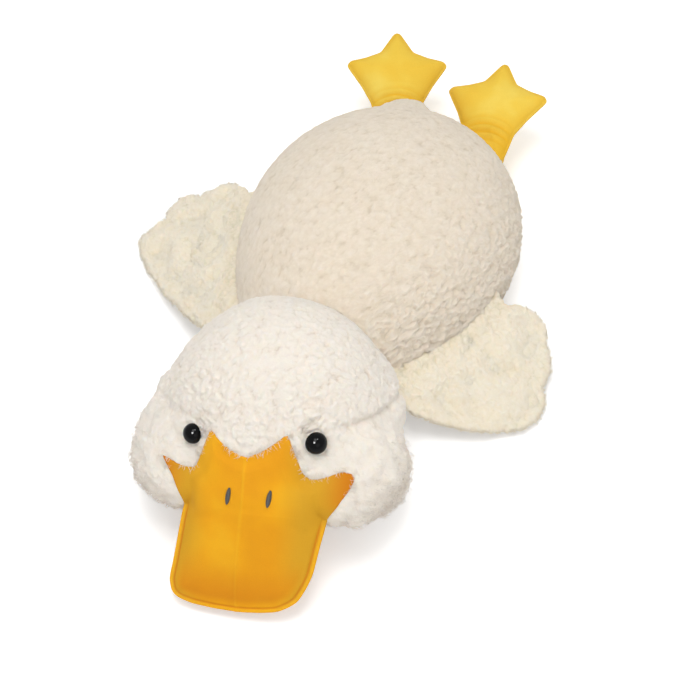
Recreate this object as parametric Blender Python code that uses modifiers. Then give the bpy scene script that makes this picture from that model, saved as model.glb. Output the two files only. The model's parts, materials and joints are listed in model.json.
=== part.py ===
"""A plush duck lying on its belly: a stuffed body, a round head on a sewn neck, a quilted bill, two flat wings
and two star shaped feet. Metres, +Z up, beak towards -Y. The origin is on the flat rest face of the belly."""

import math

import bmesh
import bpy
from mathutils import Matrix, Vector

# Cloth and clearances
FLEECE_THICKNESS = 0.004
NECK_CLOTH_THICKNESS = 0.003
BILL_CLOTH_THICKNESS = 0.0022
FOOT_CLOTH_THICKNESS = 0.0020
WING_CLOTH_THICKNESS = 0.0030
SEAM_GAP = 0.0004
FILLING_GAP = 0.0006
FACET_ALLOWANCE = 0.0009
CUT_OVERRUN = 0.6
MERGE_DISTANCE = 0.00005
SHARP_ANGLE = 40.0
SEARCH_STEPS = 40
PUFF_POWER = 0.75

# Body
BODY_HALF_WIDTH = 0.1335
BODY_HALF_LENGTH = 0.193
BODY_HALF_HEIGHT = 0.102
BODY_SEAM_HEIGHT = 0.055
BODY_CENTRE_Y = 0.062
BODY_SWELL_SHARE = 0.27
BODY_TAPER_SHARE = -0.15
BODY_SEGMENTS = 28
BODY_RINGS = 18
TAIL_LENGTH = 0.018
TAIL_SPREAD_SHARE = 0.036
TAIL_SIDE_SHARE = -0.28
TAIL_LIFT_SHARE = 0.34

# Head, a ball about the neck pivot with two cheeks and a drawn-in chin
HEAD_RADIUS = 0.1085
HEAD_CENTRE = (0.0123, -0.159, 0.080)
HEAD_TURN = 14.5
HEAD_ROLL = 4.5
CHEEK_SWELL = 0.031
CHEEK_DIRECTION_SHARES = (1.0, -0.75, -0.2)
CHEEK_EDGE_SHARE = 0.75
CHIN_TUCK = 0.038
CHIN_DIRECTION_SHARES = (0.0, -1.0, -1.05)
CHIN_EDGE_SHARE = 0.44
HEAD_SEGMENTS = 24
HEAD_RINGS = 18
CROWN_SEAM_TILT = 31.9
CROWN_SEAM_SHARE = 0.235

# Neck, a sewn band that lies between the back of the head and the breast
NECK_BAND_TURN = 8.0
NECK_BAND_INNER_ANGLE = 16.0
NECK_BAND_OUTER_ANGLE = 37.0
NECK_BAND_SEGMENTS = 28
NECK_BAND_RINGS = 36

# Bill
BILL_HALF_WIDTH = 0.064
BILL_LENGTH = 0.096
BILL_ROOT_DEPTH = 0.055
BILL_TOP_RISE = 0.026
BILL_UNDER_DROP = 0.013
BILL_TIP_RISE = 0.0075
BILL_THINNING = 1.5
BILL_CORNER_RADIUS = 0.030
BILL_CORNER_STEPS = 4
BILL_ROOT_SHARES = ((0.9, 0.8), (0.5, 1.0), (0.0, 1.0))
BILL_DROOP = 46.0
BILL_SKEW = 2.0
BILL_LEAN_SHARE = 0.13
BILL_SEAM_SKEW = 5.5
BILL_SEAT_SHARES = (-0.963, 0.028)
BILL_MIDDLE_SHARE = 0.25
BILL_FLANGE_SHARE = 0.93
BILL_RING_SHARES = (0.35, 0.66, 0.85)
MASK_SETBACK_SHARE = 0.25
MASK_LEAN_SHARE = 0.09
MASK_SHARES = (
    (0.0, 0.018), (0.604, 0.022), (0.837, 0.283), (0.790, 0.381),
    (0.468, 0.341), (0.315, 0.666), (0.0, 0.537),
)
NOSTRIL_HALF_WIDTH = 0.0026
NOSTRIL_HALF_LENGTH = 0.0080
NOSTRIL_THICKNESS = 0.0014
NOSTRIL_SPACING = 0.040
NOSTRIL_DOWN = -0.010
NOSTRIL_SPLAY = 8.0
NOSTRIL_STEPS = 12

# Eyes
EYE_RADIUS = 0.009
EYE_DOME_HEIGHT = 0.0072
EYE_SHANK_RADIUS = 0.0025
EYE_SHANK_LENGTH = 0.016
EYE_RIDGE_HEIGHT = 0.0006
EYE_RIDGES = 2
EYE_AZIMUTH = 37.5
EYE_ELEVATION = 33.5
EYE_SEAT_GAP = 0.0006
EYE_DOME_STEPS = 5
WASHER_RADIUS = 0.0080
WASHER_THICKNESS = 0.0016
TURNED_STEPS = 16

# Wings
WING_REACH = 0.115
WING_REAR = 0.083
WING_FRONT = 0.104
WING_HEAD_GAP = 0.0052
WING_REAR_ROOT = 0.066
WING_STANDOFF = 0.0048
WING_FLOOR_GAP = 0.0006
WING_BODY_GAP = 0.0006
WING_LEFT_Y = 0.010
WING_RIGHT_Y = 0.030
WING_LEFT_SWEEP_SHARE = 0.0
WING_RIGHT_SWEEP_SHARE = 0.20
WING_ROOT_STEPS = 12
WING_SCALLOP_STEPS = 5
WING_SCALLOP_SHARE = 0.16
WING_REAR_SHARES = ((-0.98, 0.26), (-0.84, 0.50), (-0.68, 0.72), (-0.36, 0.84))
WING_FRONT_SHARES = ((0.12, 1.0), (0.52, 0.80), (0.82, 0.52), (0.97, 0.24))

# Feet
FOOT_RADIUS = 0.0556
LEG_LENGTH = 0.060
LEG_HALF_WIDTH = 0.025
LEG_ROOT_SHARE = 0.86
FOOT_HALF_THICKNESS = 0.0155
FOOT_FLANGE_SHARE = 0.97
FOOT_RING_SHARES = (0.38, 0.70, 0.90)
FOOT_TILT = 14.0
FOOT_LEFT_SWING = 9.5
FOOT_RIGHT_SWING = 24.0
HIP_X = 0.048
HIP_SEAM_INSET = 0.0015
HIP_STANDOFF = 0.0025
TOE_SHARES = (
    (0.50, -0.58), (0.68, -0.22), (0.90, 0.13), (0.97, 0.25), (0.90, 0.35),
    (0.60, 0.43), (0.32, 0.55), (0.18, 0.78), (0.07, 0.965),
)

# Looks: linear colour, then roughness
CREAM_FLEECE = (0.83, 0.77, 0.67, 0.9)
WHITE_FLEECE = (0.87, 0.83, 0.78, 0.9)
WING_FLEECE = (0.86, 0.79, 0.64, 0.9)
BILL_ORANGE = (0.90, 0.40, 0.03, 0.8)
FOOT_YELLOW = (0.93, 0.56, 0.06, 0.8)
FILLING_WHITE = (0.80, 0.80, 0.80, 1.0)
EYE_BLACK = (0.005, 0.005, 0.006, 0.08)
STITCH_GREY = (0.10, 0.10, 0.11, 0.5)
WASHER_WHITE = (0.75, 0.75, 0.74, 0.5)


def clear_scene():
    for old in list(bpy.data.objects):
        bpy.data.objects.remove(old, do_unlink=True)


def make_collection(name):
    collection = bpy.data.collections.new(name)
    bpy.context.scene.collection.children.link(collection)
    return collection


clear_scene()
PARTS = make_collection("plush_duck")
CUTTERS = make_collection("cutters")


def material(name, look):
    made = bpy.data.materials.new(name)
    made.use_nodes = True
    shader = made.node_tree.nodes["Principled BSDF"]
    shader.inputs["Base Color"].default_value = (*look[:3], 1.0)
    shader.inputs["Roughness"].default_value = look[3]
    shader.inputs["Metallic"].default_value = 0.0
    return made


def add_part(name, mesh, look, parent=None):
    part = bpy.data.objects.new(name, mesh)
    mesh.materials.append(material(name, look))
    PARTS.objects.link(part)
    part.parent = parent
    return part


def add_cutter(name, mesh, parent=None):
    cutter = bpy.data.objects.new(name, mesh)
    cutter.hide_render = True
    cutter.display_type = "WIRE"
    CUTTERS.objects.link(cutter)
    cutter.parent = parent
    return cutter


def add_frame(name, matrix):
    """An empty that carries the pieces of one moving body on its joint's axis."""
    empty = bpy.data.objects.new(name, None)
    empty.matrix_world = matrix
    PARTS.objects.link(empty)
    return empty


def boolean(part, cutter, operation, solver="EXACT"):
    step = part.modifiers.new(operation.lower(), "BOOLEAN")
    step.operation = operation
    step.object = cutter
    step.solver = solver


def solidify(part, thickness, offset=-1.0):
    step = part.modifiers.new("cloth", "SOLIDIFY")
    step.thickness = thickness
    step.offset = offset
    step.use_even_offset = True


def shade(mesh):
    mesh.shade_smooth()
    mesh.set_sharp_from_angle(angle=math.radians(SHARP_ANGLE))
    return mesh


def last_passing(test, low, high):
    """The largest value between low and high that passes the test, where low does."""
    if test(high):
        return high
    for _ in range(SEARCH_STEPS):
        middle = (low + high) / 2
        if test(middle):
            low = middle
        else:
            high = middle
    return low


def kernel(cosine, edge_share):
    """A smooth bump over directions: 1 where cosine is 1, and 0 from edge_share down."""
    share = min(max((cosine - edge_share) / (1.0 - edge_share), 0.0), 1.0)
    return share * share * (3.0 - 2.0 * share)


def ball_bmesh(segments, rings, pole_axis):
    """A unit ball whose poles lie along pole_axis."""
    bm = bmesh.new()
    bmesh.ops.create_uvsphere(bm, u_segments=segments, v_segments=rings, radius=1.0)
    turn = Vector((0.0, 0.0, 1.0)).rotation_difference(Vector(pole_axis)).to_matrix()
    bmesh.ops.rotate(bm, verts=bm.verts, cent=Vector(), matrix=turn)
    return bm


def offset_bmesh(bm, distance):
    """Moves the surface along its normals, outwards where distance is positive, at an even thickness."""
    bm.normal_update()
    moves = [vertex.normal * (distance * vertex.calc_shell_factor()) for vertex in bm.verts]
    for vertex, move in zip(bm.verts, moves):
        vertex.co += move


def form_mesh(name, segments, rings, pole_axis, shape, offset=0.0):
    """A closed form: a unit ball carried to shape(direction), then offset along its normals.

    Its faces are triangles, so that the layers of one form all fold along the same edges."""
    bm = ball_bmesh(segments, rings, pole_axis)
    for vertex in bm.verts:
        vertex.co = shape(vertex.co.copy())
    bmesh.ops.triangulate(bm, faces=bm.faces, quad_method="FIXED")
    bm.normal_update()
    if offset:
        offset_bmesh(bm, offset)
    mesh = bpy.data.meshes.new(name)
    bm.to_mesh(mesh)
    bm.free()
    return shade(mesh)


def block_mesh(name, low, high):
    bm = bmesh.new()
    bmesh.ops.create_cube(bm, size=1.0)
    low, high = Vector(low), Vector(high)
    for vertex in bm.verts:
        vertex.co = Vector(
            [low[i] + (vertex.co[i] + 0.5) * (high[i] - low[i]) for i in range(3)]
        )
    mesh = bpy.data.meshes.new(name)
    bm.to_mesh(mesh)
    bm.free()
    return mesh


def half_space(name, axis, place, side, parent=None):
    """A block that holds everything on one side of a plane square to an axis."""
    low = [-CUT_OVERRUN] * 3
    high = [CUT_OVERRUN] * 3
    if side > 0:
        low[axis] = place
    else:
        high[axis] = place
    return add_cutter(name, block_mesh(name, low, high), parent)


def outline_curve(name, points, thickness):
    """A flat outline in the XY plane, thickness deep about Z = 0."""
    curve = bpy.data.curves.new(name, "CURVE")
    curve.dimensions = "2D"
    curve.fill_mode = "BOTH"
    curve.extrude = thickness / 2
    spline = curve.splines.new("POLY")
    spline.points.add(len(points) - 1)
    for point, (x, y) in zip(spline.points, points):
        point.co = (x, y, 0.0, 1.0)
    spline.use_cyclic_u = True
    return curve


def curve_to_mesh(name, curve):
    """The filled outline as a closed mesh, so that it can be cut or can cut."""
    holder = bpy.data.objects.new(name, curve)
    bpy.context.scene.collection.objects.link(holder)
    bpy.context.view_layer.update()
    mesh = bpy.data.meshes.new_from_object(
        holder.evaluated_get(bpy.context.evaluated_depsgraph_get())
    )
    mesh.name = name
    bpy.data.objects.remove(holder, do_unlink=True)
    bm = bmesh.new()
    bm.from_mesh(mesh)
    bmesh.ops.remove_doubles(bm, verts=bm.verts, dist=MERGE_DISTANCE)
    bmesh.ops.recalc_face_normals(bm, faces=bm.faces)
    bm.to_mesh(mesh)
    bm.free()
    mesh.materials.clear()
    return mesh


def turned_profile(name, profile, closed=False):
    """(radius, height) points, from the top of the outer side down, as a wire in the XZ plane."""
    mesh = bpy.data.meshes.new(name)
    edges = [(i, i + 1) for i in range(len(profile) - 1)]
    if closed:
        edges.append((len(profile) - 1, 0))
    mesh.from_pydata([(radius, 0.0, height) for radius, height in profile], edges, [])
    return mesh


def turn(part):
    screw = part.modifiers.new("turn", "SCREW")
    screw.axis = "Z"
    screw.steps = TURNED_STEPS
    screw.render_steps = TURNED_STEPS
    screw.use_merge_vertices = True
    screw.merge_threshold = MERGE_DISTANCE


# The body's form

def body_half_width(y):
    """Half the body's width at the widest line, at a place along its length."""
    t = min(max((y - BODY_CENTRE_Y) / BODY_HALF_LENGTH, -1.0), 1.0)
    return BODY_HALF_WIDTH * math.sqrt(1.0 - t * t) * (1.0 + BODY_SWELL_SHARE * t + BODY_TAPER_SHARE * t * t)


def body_shape(direction):
    x, t, z = direction
    swell = 1.0 + BODY_SWELL_SHARE * t + BODY_TAPER_SHARE * t * t
    height = BODY_HALF_HEIGHT * (1.0 + BODY_SWELL_SHARE / 2 * t)
    tail_direction = Vector((TAIL_SIDE_SHARE, 1.0, TAIL_LIFT_SHARE)).normalized()
    tail = TAIL_LENGTH * kernel(direction.dot(tail_direction), 1.0 - TAIL_SPREAD_SHARE)
    return Vector((
        BODY_HALF_WIDTH * swell * x,
        BODY_CENTRE_Y + BODY_HALF_LENGTH * t + tail,
        max(BODY_SEAM_HEIGHT + height * z, 0.0),
    ))


def body_form(name, offset=0.0):
    return form_mesh(name, BODY_SEGMENTS, BODY_RINGS, (0.0, 1.0, 0.0), body_shape, offset)


# The head's form, about its pivot

def head_reach(direction):
    cheek = Vector(CHEEK_DIRECTION_SHARES).normalized()
    other_cheek = Vector((-cheek.x, cheek.y, cheek.z))
    chin = Vector(CHIN_DIRECTION_SHARES).normalized()
    swell = kernel(direction.dot(cheek), CHEEK_EDGE_SHARE)
    swell += kernel(direction.dot(other_cheek), CHEEK_EDGE_SHARE)
    tuck = kernel(direction.dot(chin), CHIN_EDGE_SHARE)
    return HEAD_RADIUS + CHEEK_SWELL * swell - CHIN_TUCK * tuck


def head_matrix():
    turn = Matrix.Rotation(math.radians(HEAD_TURN), 4, "Z")
    roll = Matrix.Rotation(-math.radians(HEAD_ROLL), 4, "Y")
    return Matrix.Translation(HEAD_CENTRE) @ turn @ roll


def head_shape(direction):
    """The head's surface in its own frame, flat where it meets the floor."""
    point = direction * head_reach(direction)
    matrix = head_matrix()
    world = matrix @ point
    world.z = max(world.z, 0.0)
    return matrix.inverted() @ world


def head_form(name, offset=0.0):
    return form_mesh(name, HEAD_SEGMENTS, HEAD_RINGS, (0.0, 1.0, 0.0), head_shape, offset)


HEAD = add_frame("head_frame", head_matrix())
BREAST_INNER = HEAD_RADIUS + NECK_CLOTH_THICKNESS + 2 * FACET_ALLOWANCE
BREAST_OUTER = BREAST_INNER + NECK_CLOTH_THICKNESS


def pivot_ball(name, radius):
    def shape(direction):
        return direction * radius
    return form_mesh(name, BODY_SEGMENTS, BODY_RINGS, (0.0, 1.0, 0.0), shape)


def make_body():
    solid_body = add_cutter("body_solid", body_form("body_solid"))
    neck_ball = add_cutter("neck_ball", pivot_ball("neck_ball", BREAST_OUTER + FACET_ALLOWANCE))
    neck_ball.location = HEAD_CENTRE
    above = half_space("above_body_seam", 2, BODY_SEAM_HEIGHT + SEAM_GAP / 2, 1)
    below = half_space("below_body_seam", 2, BODY_SEAM_HEIGHT - SEAM_GAP / 2, -1)
    for name, side in (("back_panel", above), ("belly_panel", below)):
        panel = add_part(name, body_form(name), CREAM_FLEECE)
        solidify(panel, FLEECE_THICKNESS)
        boolean(panel, side, "INTERSECT")
        boolean(panel, neck_ball, "DIFFERENCE")
    filling = add_part(
        "body_filling", body_form("body_filling", -FLEECE_THICKNESS - FILLING_GAP), FILLING_WHITE
    )
    boolean(filling, neck_ball, "DIFFERENCE")
    breast = add_part("breast_panel", pivot_ball("breast_panel", BREAST_OUTER), CREAM_FLEECE)
    breast.location = HEAD_CENTRE
    solidify(breast, NECK_CLOTH_THICKNESS)
    boolean(breast, solid_body, "INTERSECT")


def make_neck():
    """A ring of cloth on the ball of the head, between two cones about its own axis."""
    bm = ball_bmesh(NECK_BAND_SEGMENTS, NECK_BAND_RINGS, (0.0, 1.0, 0.0))
    near = math.cos(math.radians(NECK_BAND_INNER_ANGLE))
    far = math.cos(math.radians(NECK_BAND_OUTER_ANGLE))
    outside = [face for face in bm.faces if not far < face.calc_center_median().y < near]
    bmesh.ops.delete(bm, geom=outside, context="FACES")
    bmesh.ops.scale(bm, vec=Vector([HEAD_RADIUS + FACET_ALLOWANCE] * 3), verts=bm.verts)
    bmesh.ops.recalc_face_normals(bm, faces=bm.faces)
    mesh = bpy.data.meshes.new("neck_band")
    bm.to_mesh(mesh)
    bm.free()
    band = add_part("neck_band", shade(mesh), CREAM_FLEECE)
    band.location = HEAD_CENTRE
    band.rotation_euler.z = math.radians(NECK_BAND_TURN)
    solidify(band, NECK_CLOTH_THICKNESS, 1.0)


def head_normal(direction):
    """The way out of the head's surface at a direction from its pivot."""
    across = direction.cross(Vector((0.0, 0.0, 1.0))).normalized()
    up = direction.cross(across)
    step = EYE_RADIUS / HEAD_RADIUS
    edges = []
    for tangent in (across, up):
        ahead = (direction + tangent * step).normalized()
        behind = (direction - tangent * step).normalized()
        edges.append(ahead * head_reach(ahead) - behind * head_reach(behind))
    return edges[0].cross(edges[1]).normalized()


def eye_matrix(side):
    """The place of an eye: its seat on the face, with +Z out of the head."""
    azimuth, elevation = math.radians(EYE_AZIMUTH * side), math.radians(EYE_ELEVATION)
    direction = Vector((
        math.sin(azimuth) * math.cos(elevation),
        -math.cos(azimuth) * math.cos(elevation),
        math.sin(elevation),
    ))
    outward = head_normal(direction)
    seat = direction * head_reach(direction) + outward * EYE_SEAT_GAP
    return Matrix.Translation(seat) @ outward.to_track_quat("Z", "Y").to_matrix().to_4x4()


def eye_profile():
    """From the top of the dome, round its edge and down the ridged shank."""
    points = []
    for i in range(EYE_DOME_STEPS + 1):
        angle = math.radians(90.0) * i / EYE_DOME_STEPS
        points.append((EYE_RADIUS * math.sin(angle), EYE_DOME_HEIGHT * math.cos(angle)))
    points.append((EYE_RADIUS - EYE_RIDGE_HEIGHT, -EYE_RIDGE_HEIGHT))
    points.append((EYE_SHANK_RADIUS, -EYE_RIDGE_HEIGHT))
    pitch = EYE_SHANK_LENGTH / (EYE_RIDGES + 2)
    for i in range(1, EYE_RIDGES + 1):
        height = -pitch * (i + 1)
        points.append((EYE_SHANK_RADIUS, height + EYE_RIDGE_HEIGHT))
        points.append((EYE_SHANK_RADIUS - EYE_RIDGE_HEIGHT, height))
        points.append((EYE_SHANK_RADIUS, height - EYE_RIDGE_HEIGHT))
    points.append((EYE_SHANK_RADIUS - EYE_RIDGE_HEIGHT, -EYE_SHANK_LENGTH))
    points.append((0.0, -EYE_SHANK_LENGTH))
    return points


def make_eye(side_name, side, face, filling):
    """A domed eye pressed into the pile, its shank run through the face and into a washer in the filling."""
    matrix = eye_matrix(side)
    bore_radius = EYE_SHANK_RADIUS + SEAM_GAP
    room_radius = WASHER_RADIUS + SEAM_GAP
    washer_top = -(EYE_SEAT_GAP + FLEECE_THICKNESS + 3 * FILLING_GAP)
    washer_bottom = washer_top - WASHER_THICKNESS
    room_bottom = washer_bottom - SEAM_GAP
    bore_bottom = -EYE_SHANK_LENGTH - FILLING_GAP
    seat_radius = EYE_RADIUS + SEAM_GAP
    seat_height = -EYE_RIDGE_HEIGHT - SEAM_GAP
    bore = add_cutter("eye_bore_" + side_name, turned_profile("eye_bore", [
        (0.0, EYE_RADIUS), (seat_radius, EYE_RADIUS), (seat_radius, seat_height),
        (bore_radius, seat_height), (bore_radius, bore_bottom), (0.0, bore_bottom),
    ]), HEAD)
    room = add_cutter("washer_room_" + side_name, turned_profile("washer_room", [
        (0.0, EYE_RADIUS), (room_radius, EYE_RADIUS), (room_radius, room_bottom),
        (bore_radius, room_bottom), (bore_radius, bore_bottom), (0.0, bore_bottom),
    ]), HEAD)
    eye = add_part("eye_" + side_name, turned_profile("eye", eye_profile()), EYE_BLACK, HEAD)
    washer = add_part("eye_washer_" + side_name, turned_profile("eye_washer", [
        (bore_radius, washer_top), (WASHER_RADIUS, washer_top),
        (WASHER_RADIUS, washer_bottom), (bore_radius, washer_bottom),
    ], closed=True), WASHER_WHITE, HEAD)
    for piece in (bore, room, eye, washer):
        piece.matrix_local = matrix
        turn(piece)
    boolean(face, bore, "DIFFERENCE")
    boolean(filling, room, "DIFFERENCE")


def make_head():
    tilt = Matrix.Rotation(-math.radians(CROWN_SEAM_TILT), 4, "X")
    seam_place = HEAD_RADIUS * CROWN_SEAM_SHARE
    crown_side = half_space("above_crown_seam", 2, seam_place + SEAM_GAP / 2, 1, HEAD)
    face_side = half_space("below_crown_seam", 2, seam_place - SEAM_GAP / 2, -1, HEAD)
    for side in (crown_side, face_side):
        side.matrix_local = tilt
    crown = add_part("head_crown_panel", head_form("head_crown_panel"), WHITE_FLEECE, HEAD)
    face = add_part("head_face_panel", head_form("head_face_panel"), WHITE_FLEECE, HEAD)
    for panel, side in ((crown, crown_side), (face, face_side)):
        solidify(panel, FLEECE_THICKNESS)
        boolean(panel, side, "INTERSECT")
    filling = add_part(
        "head_filling", head_form("head_filling", -FLEECE_THICKNESS - FILLING_GAP), FILLING_WHITE, HEAD
    )
    for side_name, side in (("left", 1), ("right", -1)):
        make_eye(side_name, side, face, filling)


# Quilted pieces: two cloths sewn round a flat flange, with filling between them

def puff(share, flange_share):
    """How far a quilted piece rises at a share of the way from its middle to its edge."""
    return max(1.0 - (share / flange_share) ** 2, 0.0) ** PUFF_POWER


def quilt_mesh(name, outline, middle, ring_shares, flange_share, rise, drop, cloth, layer):
    """One layer of a quilted piece over a flat outline about middle: 1 top cloth, -1 under cloth, 0 filling.

    Each ring of a ball becomes the outline, drawn in towards the middle by one of the ring shares."""
    shares = list(ring_shares)
    if layer:
        shares += [flange_share, 1.0]
    count = len(shares)
    rings = 2 * count + 1
    bm = bmesh.new()
    bmesh.ops.create_uvsphere(bm, u_segments=len(outline), v_segments=rings, radius=1.0)
    step = math.tau / len(outline)
    for vertex in bm.verts:
        x, y, z = vertex.co
        ring = round(math.acos(max(min(z, 1.0), -1.0)) * rings / math.pi)
        upper = ring <= count
        ring = min(ring, rings - ring)
        share = shares[ring - 1] if ring else 0.0
        place = Vector(outline[round(math.atan2(y, x) / step) % len(outline)])
        flat = Vector(middle) + (place - Vector(middle)) * share
        on_top = upper if layer == 0 else layer > 0
        swell = (rise if on_top else drop)(flat.y) - cloth
        height = SEAM_GAP / 2 + swell * puff(share, flange_share)
        if layer == 0:
            height -= FILLING_GAP
        elif upper == on_top:
            height += cloth
        vertex.co = (flat.x, flat.y, height if on_top else -height)
    bmesh.ops.triangulate(bm, faces=bm.faces, quad_method="SHORT_EDGE")
    mesh = bpy.data.meshes.new(name)
    bm.to_mesh(mesh)
    bm.free()
    return shade(mesh)


# The bill: a stuffed flap below a flat mask on the face

def bill_outline():
    """Round the flap from the middle of its root, seen from above: -Y runs down the flap."""
    radius, tip = BILL_CORNER_RADIUS, BILL_LENGTH
    half = [(0.0, tip)]
    for i in range(BILL_CORNER_STEPS + 1):
        angle = math.radians(90.0) * i / BILL_CORNER_STEPS
        half.append((
            BILL_HALF_WIDTH - radius + radius * math.sin(angle),
            tip - radius + radius * math.cos(angle),
        ))
    half += [(BILL_HALF_WIDTH, (tip - radius) / 2), (BILL_HALF_WIDTH, 0.0)]
    half += [(BILL_HALF_WIDTH * x, -BILL_ROOT_DEPTH * y) for x, y in BILL_ROOT_SHARES]
    whole = half + [(-x, y) for x, y in reversed(half[1:-1])]
    return [(x - BILL_LEAN_SHARE * y, -y) for x, y in whole]


def bill_thinning(y, root, tip):
    """Full at the root, and thinner down the flap."""
    share = min(max(-y / BILL_LENGTH, 0.0), 1.0)
    return tip + (root - tip) * (1.0 - share) ** BILL_THINNING


def bill_rise(y):
    return bill_thinning(y, BILL_TOP_RISE, BILL_TIP_RISE)


def bill_drop(y):
    return bill_thinning(y, BILL_UNDER_DROP, BILL_TIP_RISE)


def bill_middle():
    return (0.0, -BILL_LENGTH * BILL_MIDDLE_SHARE)


def bill_layer(name, layer):
    return quilt_mesh(
        name, bill_outline(), bill_middle(), BILL_RING_SHARES, BILL_FLANGE_SHARE,
        bill_rise, bill_drop, BILL_CLOTH_THICKNESS, layer,
    )


def bill_matrix(skew):
    """The flap's frame in the head: -Y down the flap, +Z out of its upper face."""
    droop = Matrix.Rotation(math.radians(BILL_DROOP), 4, "X")
    turned = Matrix.Rotation(-math.radians(skew), 4, "Z")
    seat = (0.0, HEAD_RADIUS * BILL_SEAT_SHARES[0], HEAD_RADIUS * BILL_SEAT_SHARES[1])
    return Matrix.Translation(seat) @ droop @ turned


def seam_matrix():
    """The plane of the bill's centre seam, which passes through the mask's upper notch."""
    notch_up = MASK_SHARES[-1][1] * HEAD_RADIUS
    notch_forward = math.sqrt(HEAD_RADIUS ** 2 - notch_up ** 2)
    notch = Vector((-MASK_LEAN_SHARE * notch_up, -notch_forward, notch_up))
    matrix = bill_matrix(BILL_SEAM_SKEW)
    matrix.translation = notch
    return matrix


def mask_outline():
    """The mask seen from the front, as (across, up) from the head's pivot."""
    half = [(across * HEAD_RADIUS, up * HEAD_RADIUS) for across, up in MASK_SHARES]
    whole = half + [(-x, y) for x, y in reversed(half[1:-1])]
    return [(x - MASK_LEAN_SHARE * y, y) for x, y in whole]


def mask_patch(side_name):
    """A patch of cloth on the face, cut to the mask's points."""
    patch = add_cutter(
        "mask_patch_" + side_name, head_form("mask_patch", SEAM_GAP + BILL_CLOTH_THICKNESS), HEAD
    )
    solidify(patch, BILL_CLOTH_THICKNESS)
    outline = outline_curve("mask_outline", mask_outline(), CUT_OVERRUN)
    prism = add_cutter("mask_prism_" + side_name, curve_to_mesh("mask_prism", outline), HEAD)
    stand = Matrix.Rotation(math.radians(90.0), 4, "X")
    prism.matrix_local = Matrix.Translation((0.0, -CUT_OVERRUN / 2 - HEAD_RADIUS * MASK_SETBACK_SHARE, 0.0)) @ stand
    boolean(patch, prism, "INTERSECT")
    return patch


def make_bill():
    patch_middle = SEAM_GAP + BILL_CLOTH_THICKNESS / 2
    patch_outside = 2 * SEAM_GAP + BILL_CLOTH_THICKNESS
    head_skin = add_cutter("head_skin", head_form("head_skin", SEAM_GAP), HEAD)
    head_patched = add_cutter("head_patched", head_form("head_patched", patch_middle), HEAD)
    head_masked = add_cutter("head_masked", head_form("head_masked", patch_outside), HEAD)
    for side_name, side in (("left", 1), ("right", -1)):
        top = add_part("bill_top_" + side_name, bill_layer("bill_top", 1), BILL_ORANGE, HEAD)
        top.matrix_local = bill_matrix(BILL_SKEW)
        half = half_space("bill_half_" + side_name, 0, side * SEAM_GAP / 2, side, HEAD)
        half.matrix_local = seam_matrix()
        # The exact solver loses the flap where it meets the thin patch
        boolean(top, head_patched, "DIFFERENCE", "MANIFOLD")
        boolean(top, mask_patch(side_name), "UNION", "MANIFOLD")
        boolean(top, half, "INTERSECT", "MANIFOLD")
    under = add_part("bill_under_panel", bill_layer("bill_under_panel", -1), BILL_ORANGE, HEAD)
    filling = add_part("bill_filling", bill_layer("bill_filling", 0), FILLING_WHITE, HEAD)
    for piece, cutter in ((under, head_skin), (filling, head_masked)):
        piece.matrix_local = bill_matrix(BILL_SKEW)
        boolean(piece, cutter, "DIFFERENCE")
    make_nostrils()


def nostril_rise(y):
    return bill_rise(y) - BILL_CLOTH_THICKNESS + NOSTRIL_THICKNESS


def make_nostrils():
    """Two satin stitched ovals that follow the upper face of the flap, near its root."""
    points = []
    for i in range(NOSTRIL_STEPS):
        angle = math.tau * i / NOSTRIL_STEPS
        points.append((NOSTRIL_HALF_WIDTH * math.cos(angle), NOSTRIL_HALF_LENGTH * math.sin(angle)))
    for side_name, side in (("left", 1), ("right", -1)):
        stitches = quilt_mesh(
            "nostril", bill_outline(), bill_middle(), BILL_RING_SHARES, BILL_FLANGE_SHARE,
            nostril_rise, bill_drop, NOSTRIL_THICKNESS, 1,
        )
        nostril = add_part("nostril_" + side_name, stitches, STITCH_GREY, HEAD)
        lift = Matrix.Translation((0.0, 0.0, BILL_CLOTH_THICKNESS + SEAM_GAP))
        nostril.matrix_local = bill_matrix(BILL_SKEW) @ lift
        oval = curve_to_mesh("nostril_oval", outline_curve("nostril_oval", points, CUT_OVERRUN))
        cutter = add_cutter("nostril_oval_" + side_name, oval, HEAD)
        place = Matrix.Translation((side * NOSTRIL_SPACING / 2, -NOSTRIL_DOWN, 0.0))
        splay = Matrix.Rotation(-math.radians(side * NOSTRIL_SPLAY), 4, "Z")
        cutter.matrix_local = bill_matrix(BILL_SKEW) @ place @ splay
        boolean(nostril, cutter, "INTERSECT")


# Wings

def body_side(side, y, standoff):
    """A frame on the widest line of the body: X towards the beak along the side, Y outwards."""
    step = BODY_HALF_LENGTH / SEARCH_STEPS
    slope = (body_half_width(y + step) - body_half_width(y - step)) / (2 * step)
    along = Vector((-side * slope, -1.0, 0.0)).normalized()
    outward = Vector((-along.y, along.x, 0.0)) * side
    place = Vector((side * body_half_width(y), y, BODY_SEAM_HEIGHT)) + outward * standoff
    return place, along, outward


def wing_root_inset(place, along, outward, u):
    """How far the root edge can run in from the hinge line and still clear the body as the wing turns."""
    def is_outside(distance):
        point = place + along * u - outward * distance
        return abs(point.x) > body_half_width(point.y)

    distance = last_passing(is_outside, 0.0, WING_REACH / 2)
    half_thickness = WING_CLOTH_THICKNESS + SEAM_GAP
    room = max(distance - WING_BODY_GAP, half_thickness)
    return math.sqrt(room * room - half_thickness * half_thickness)


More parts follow.
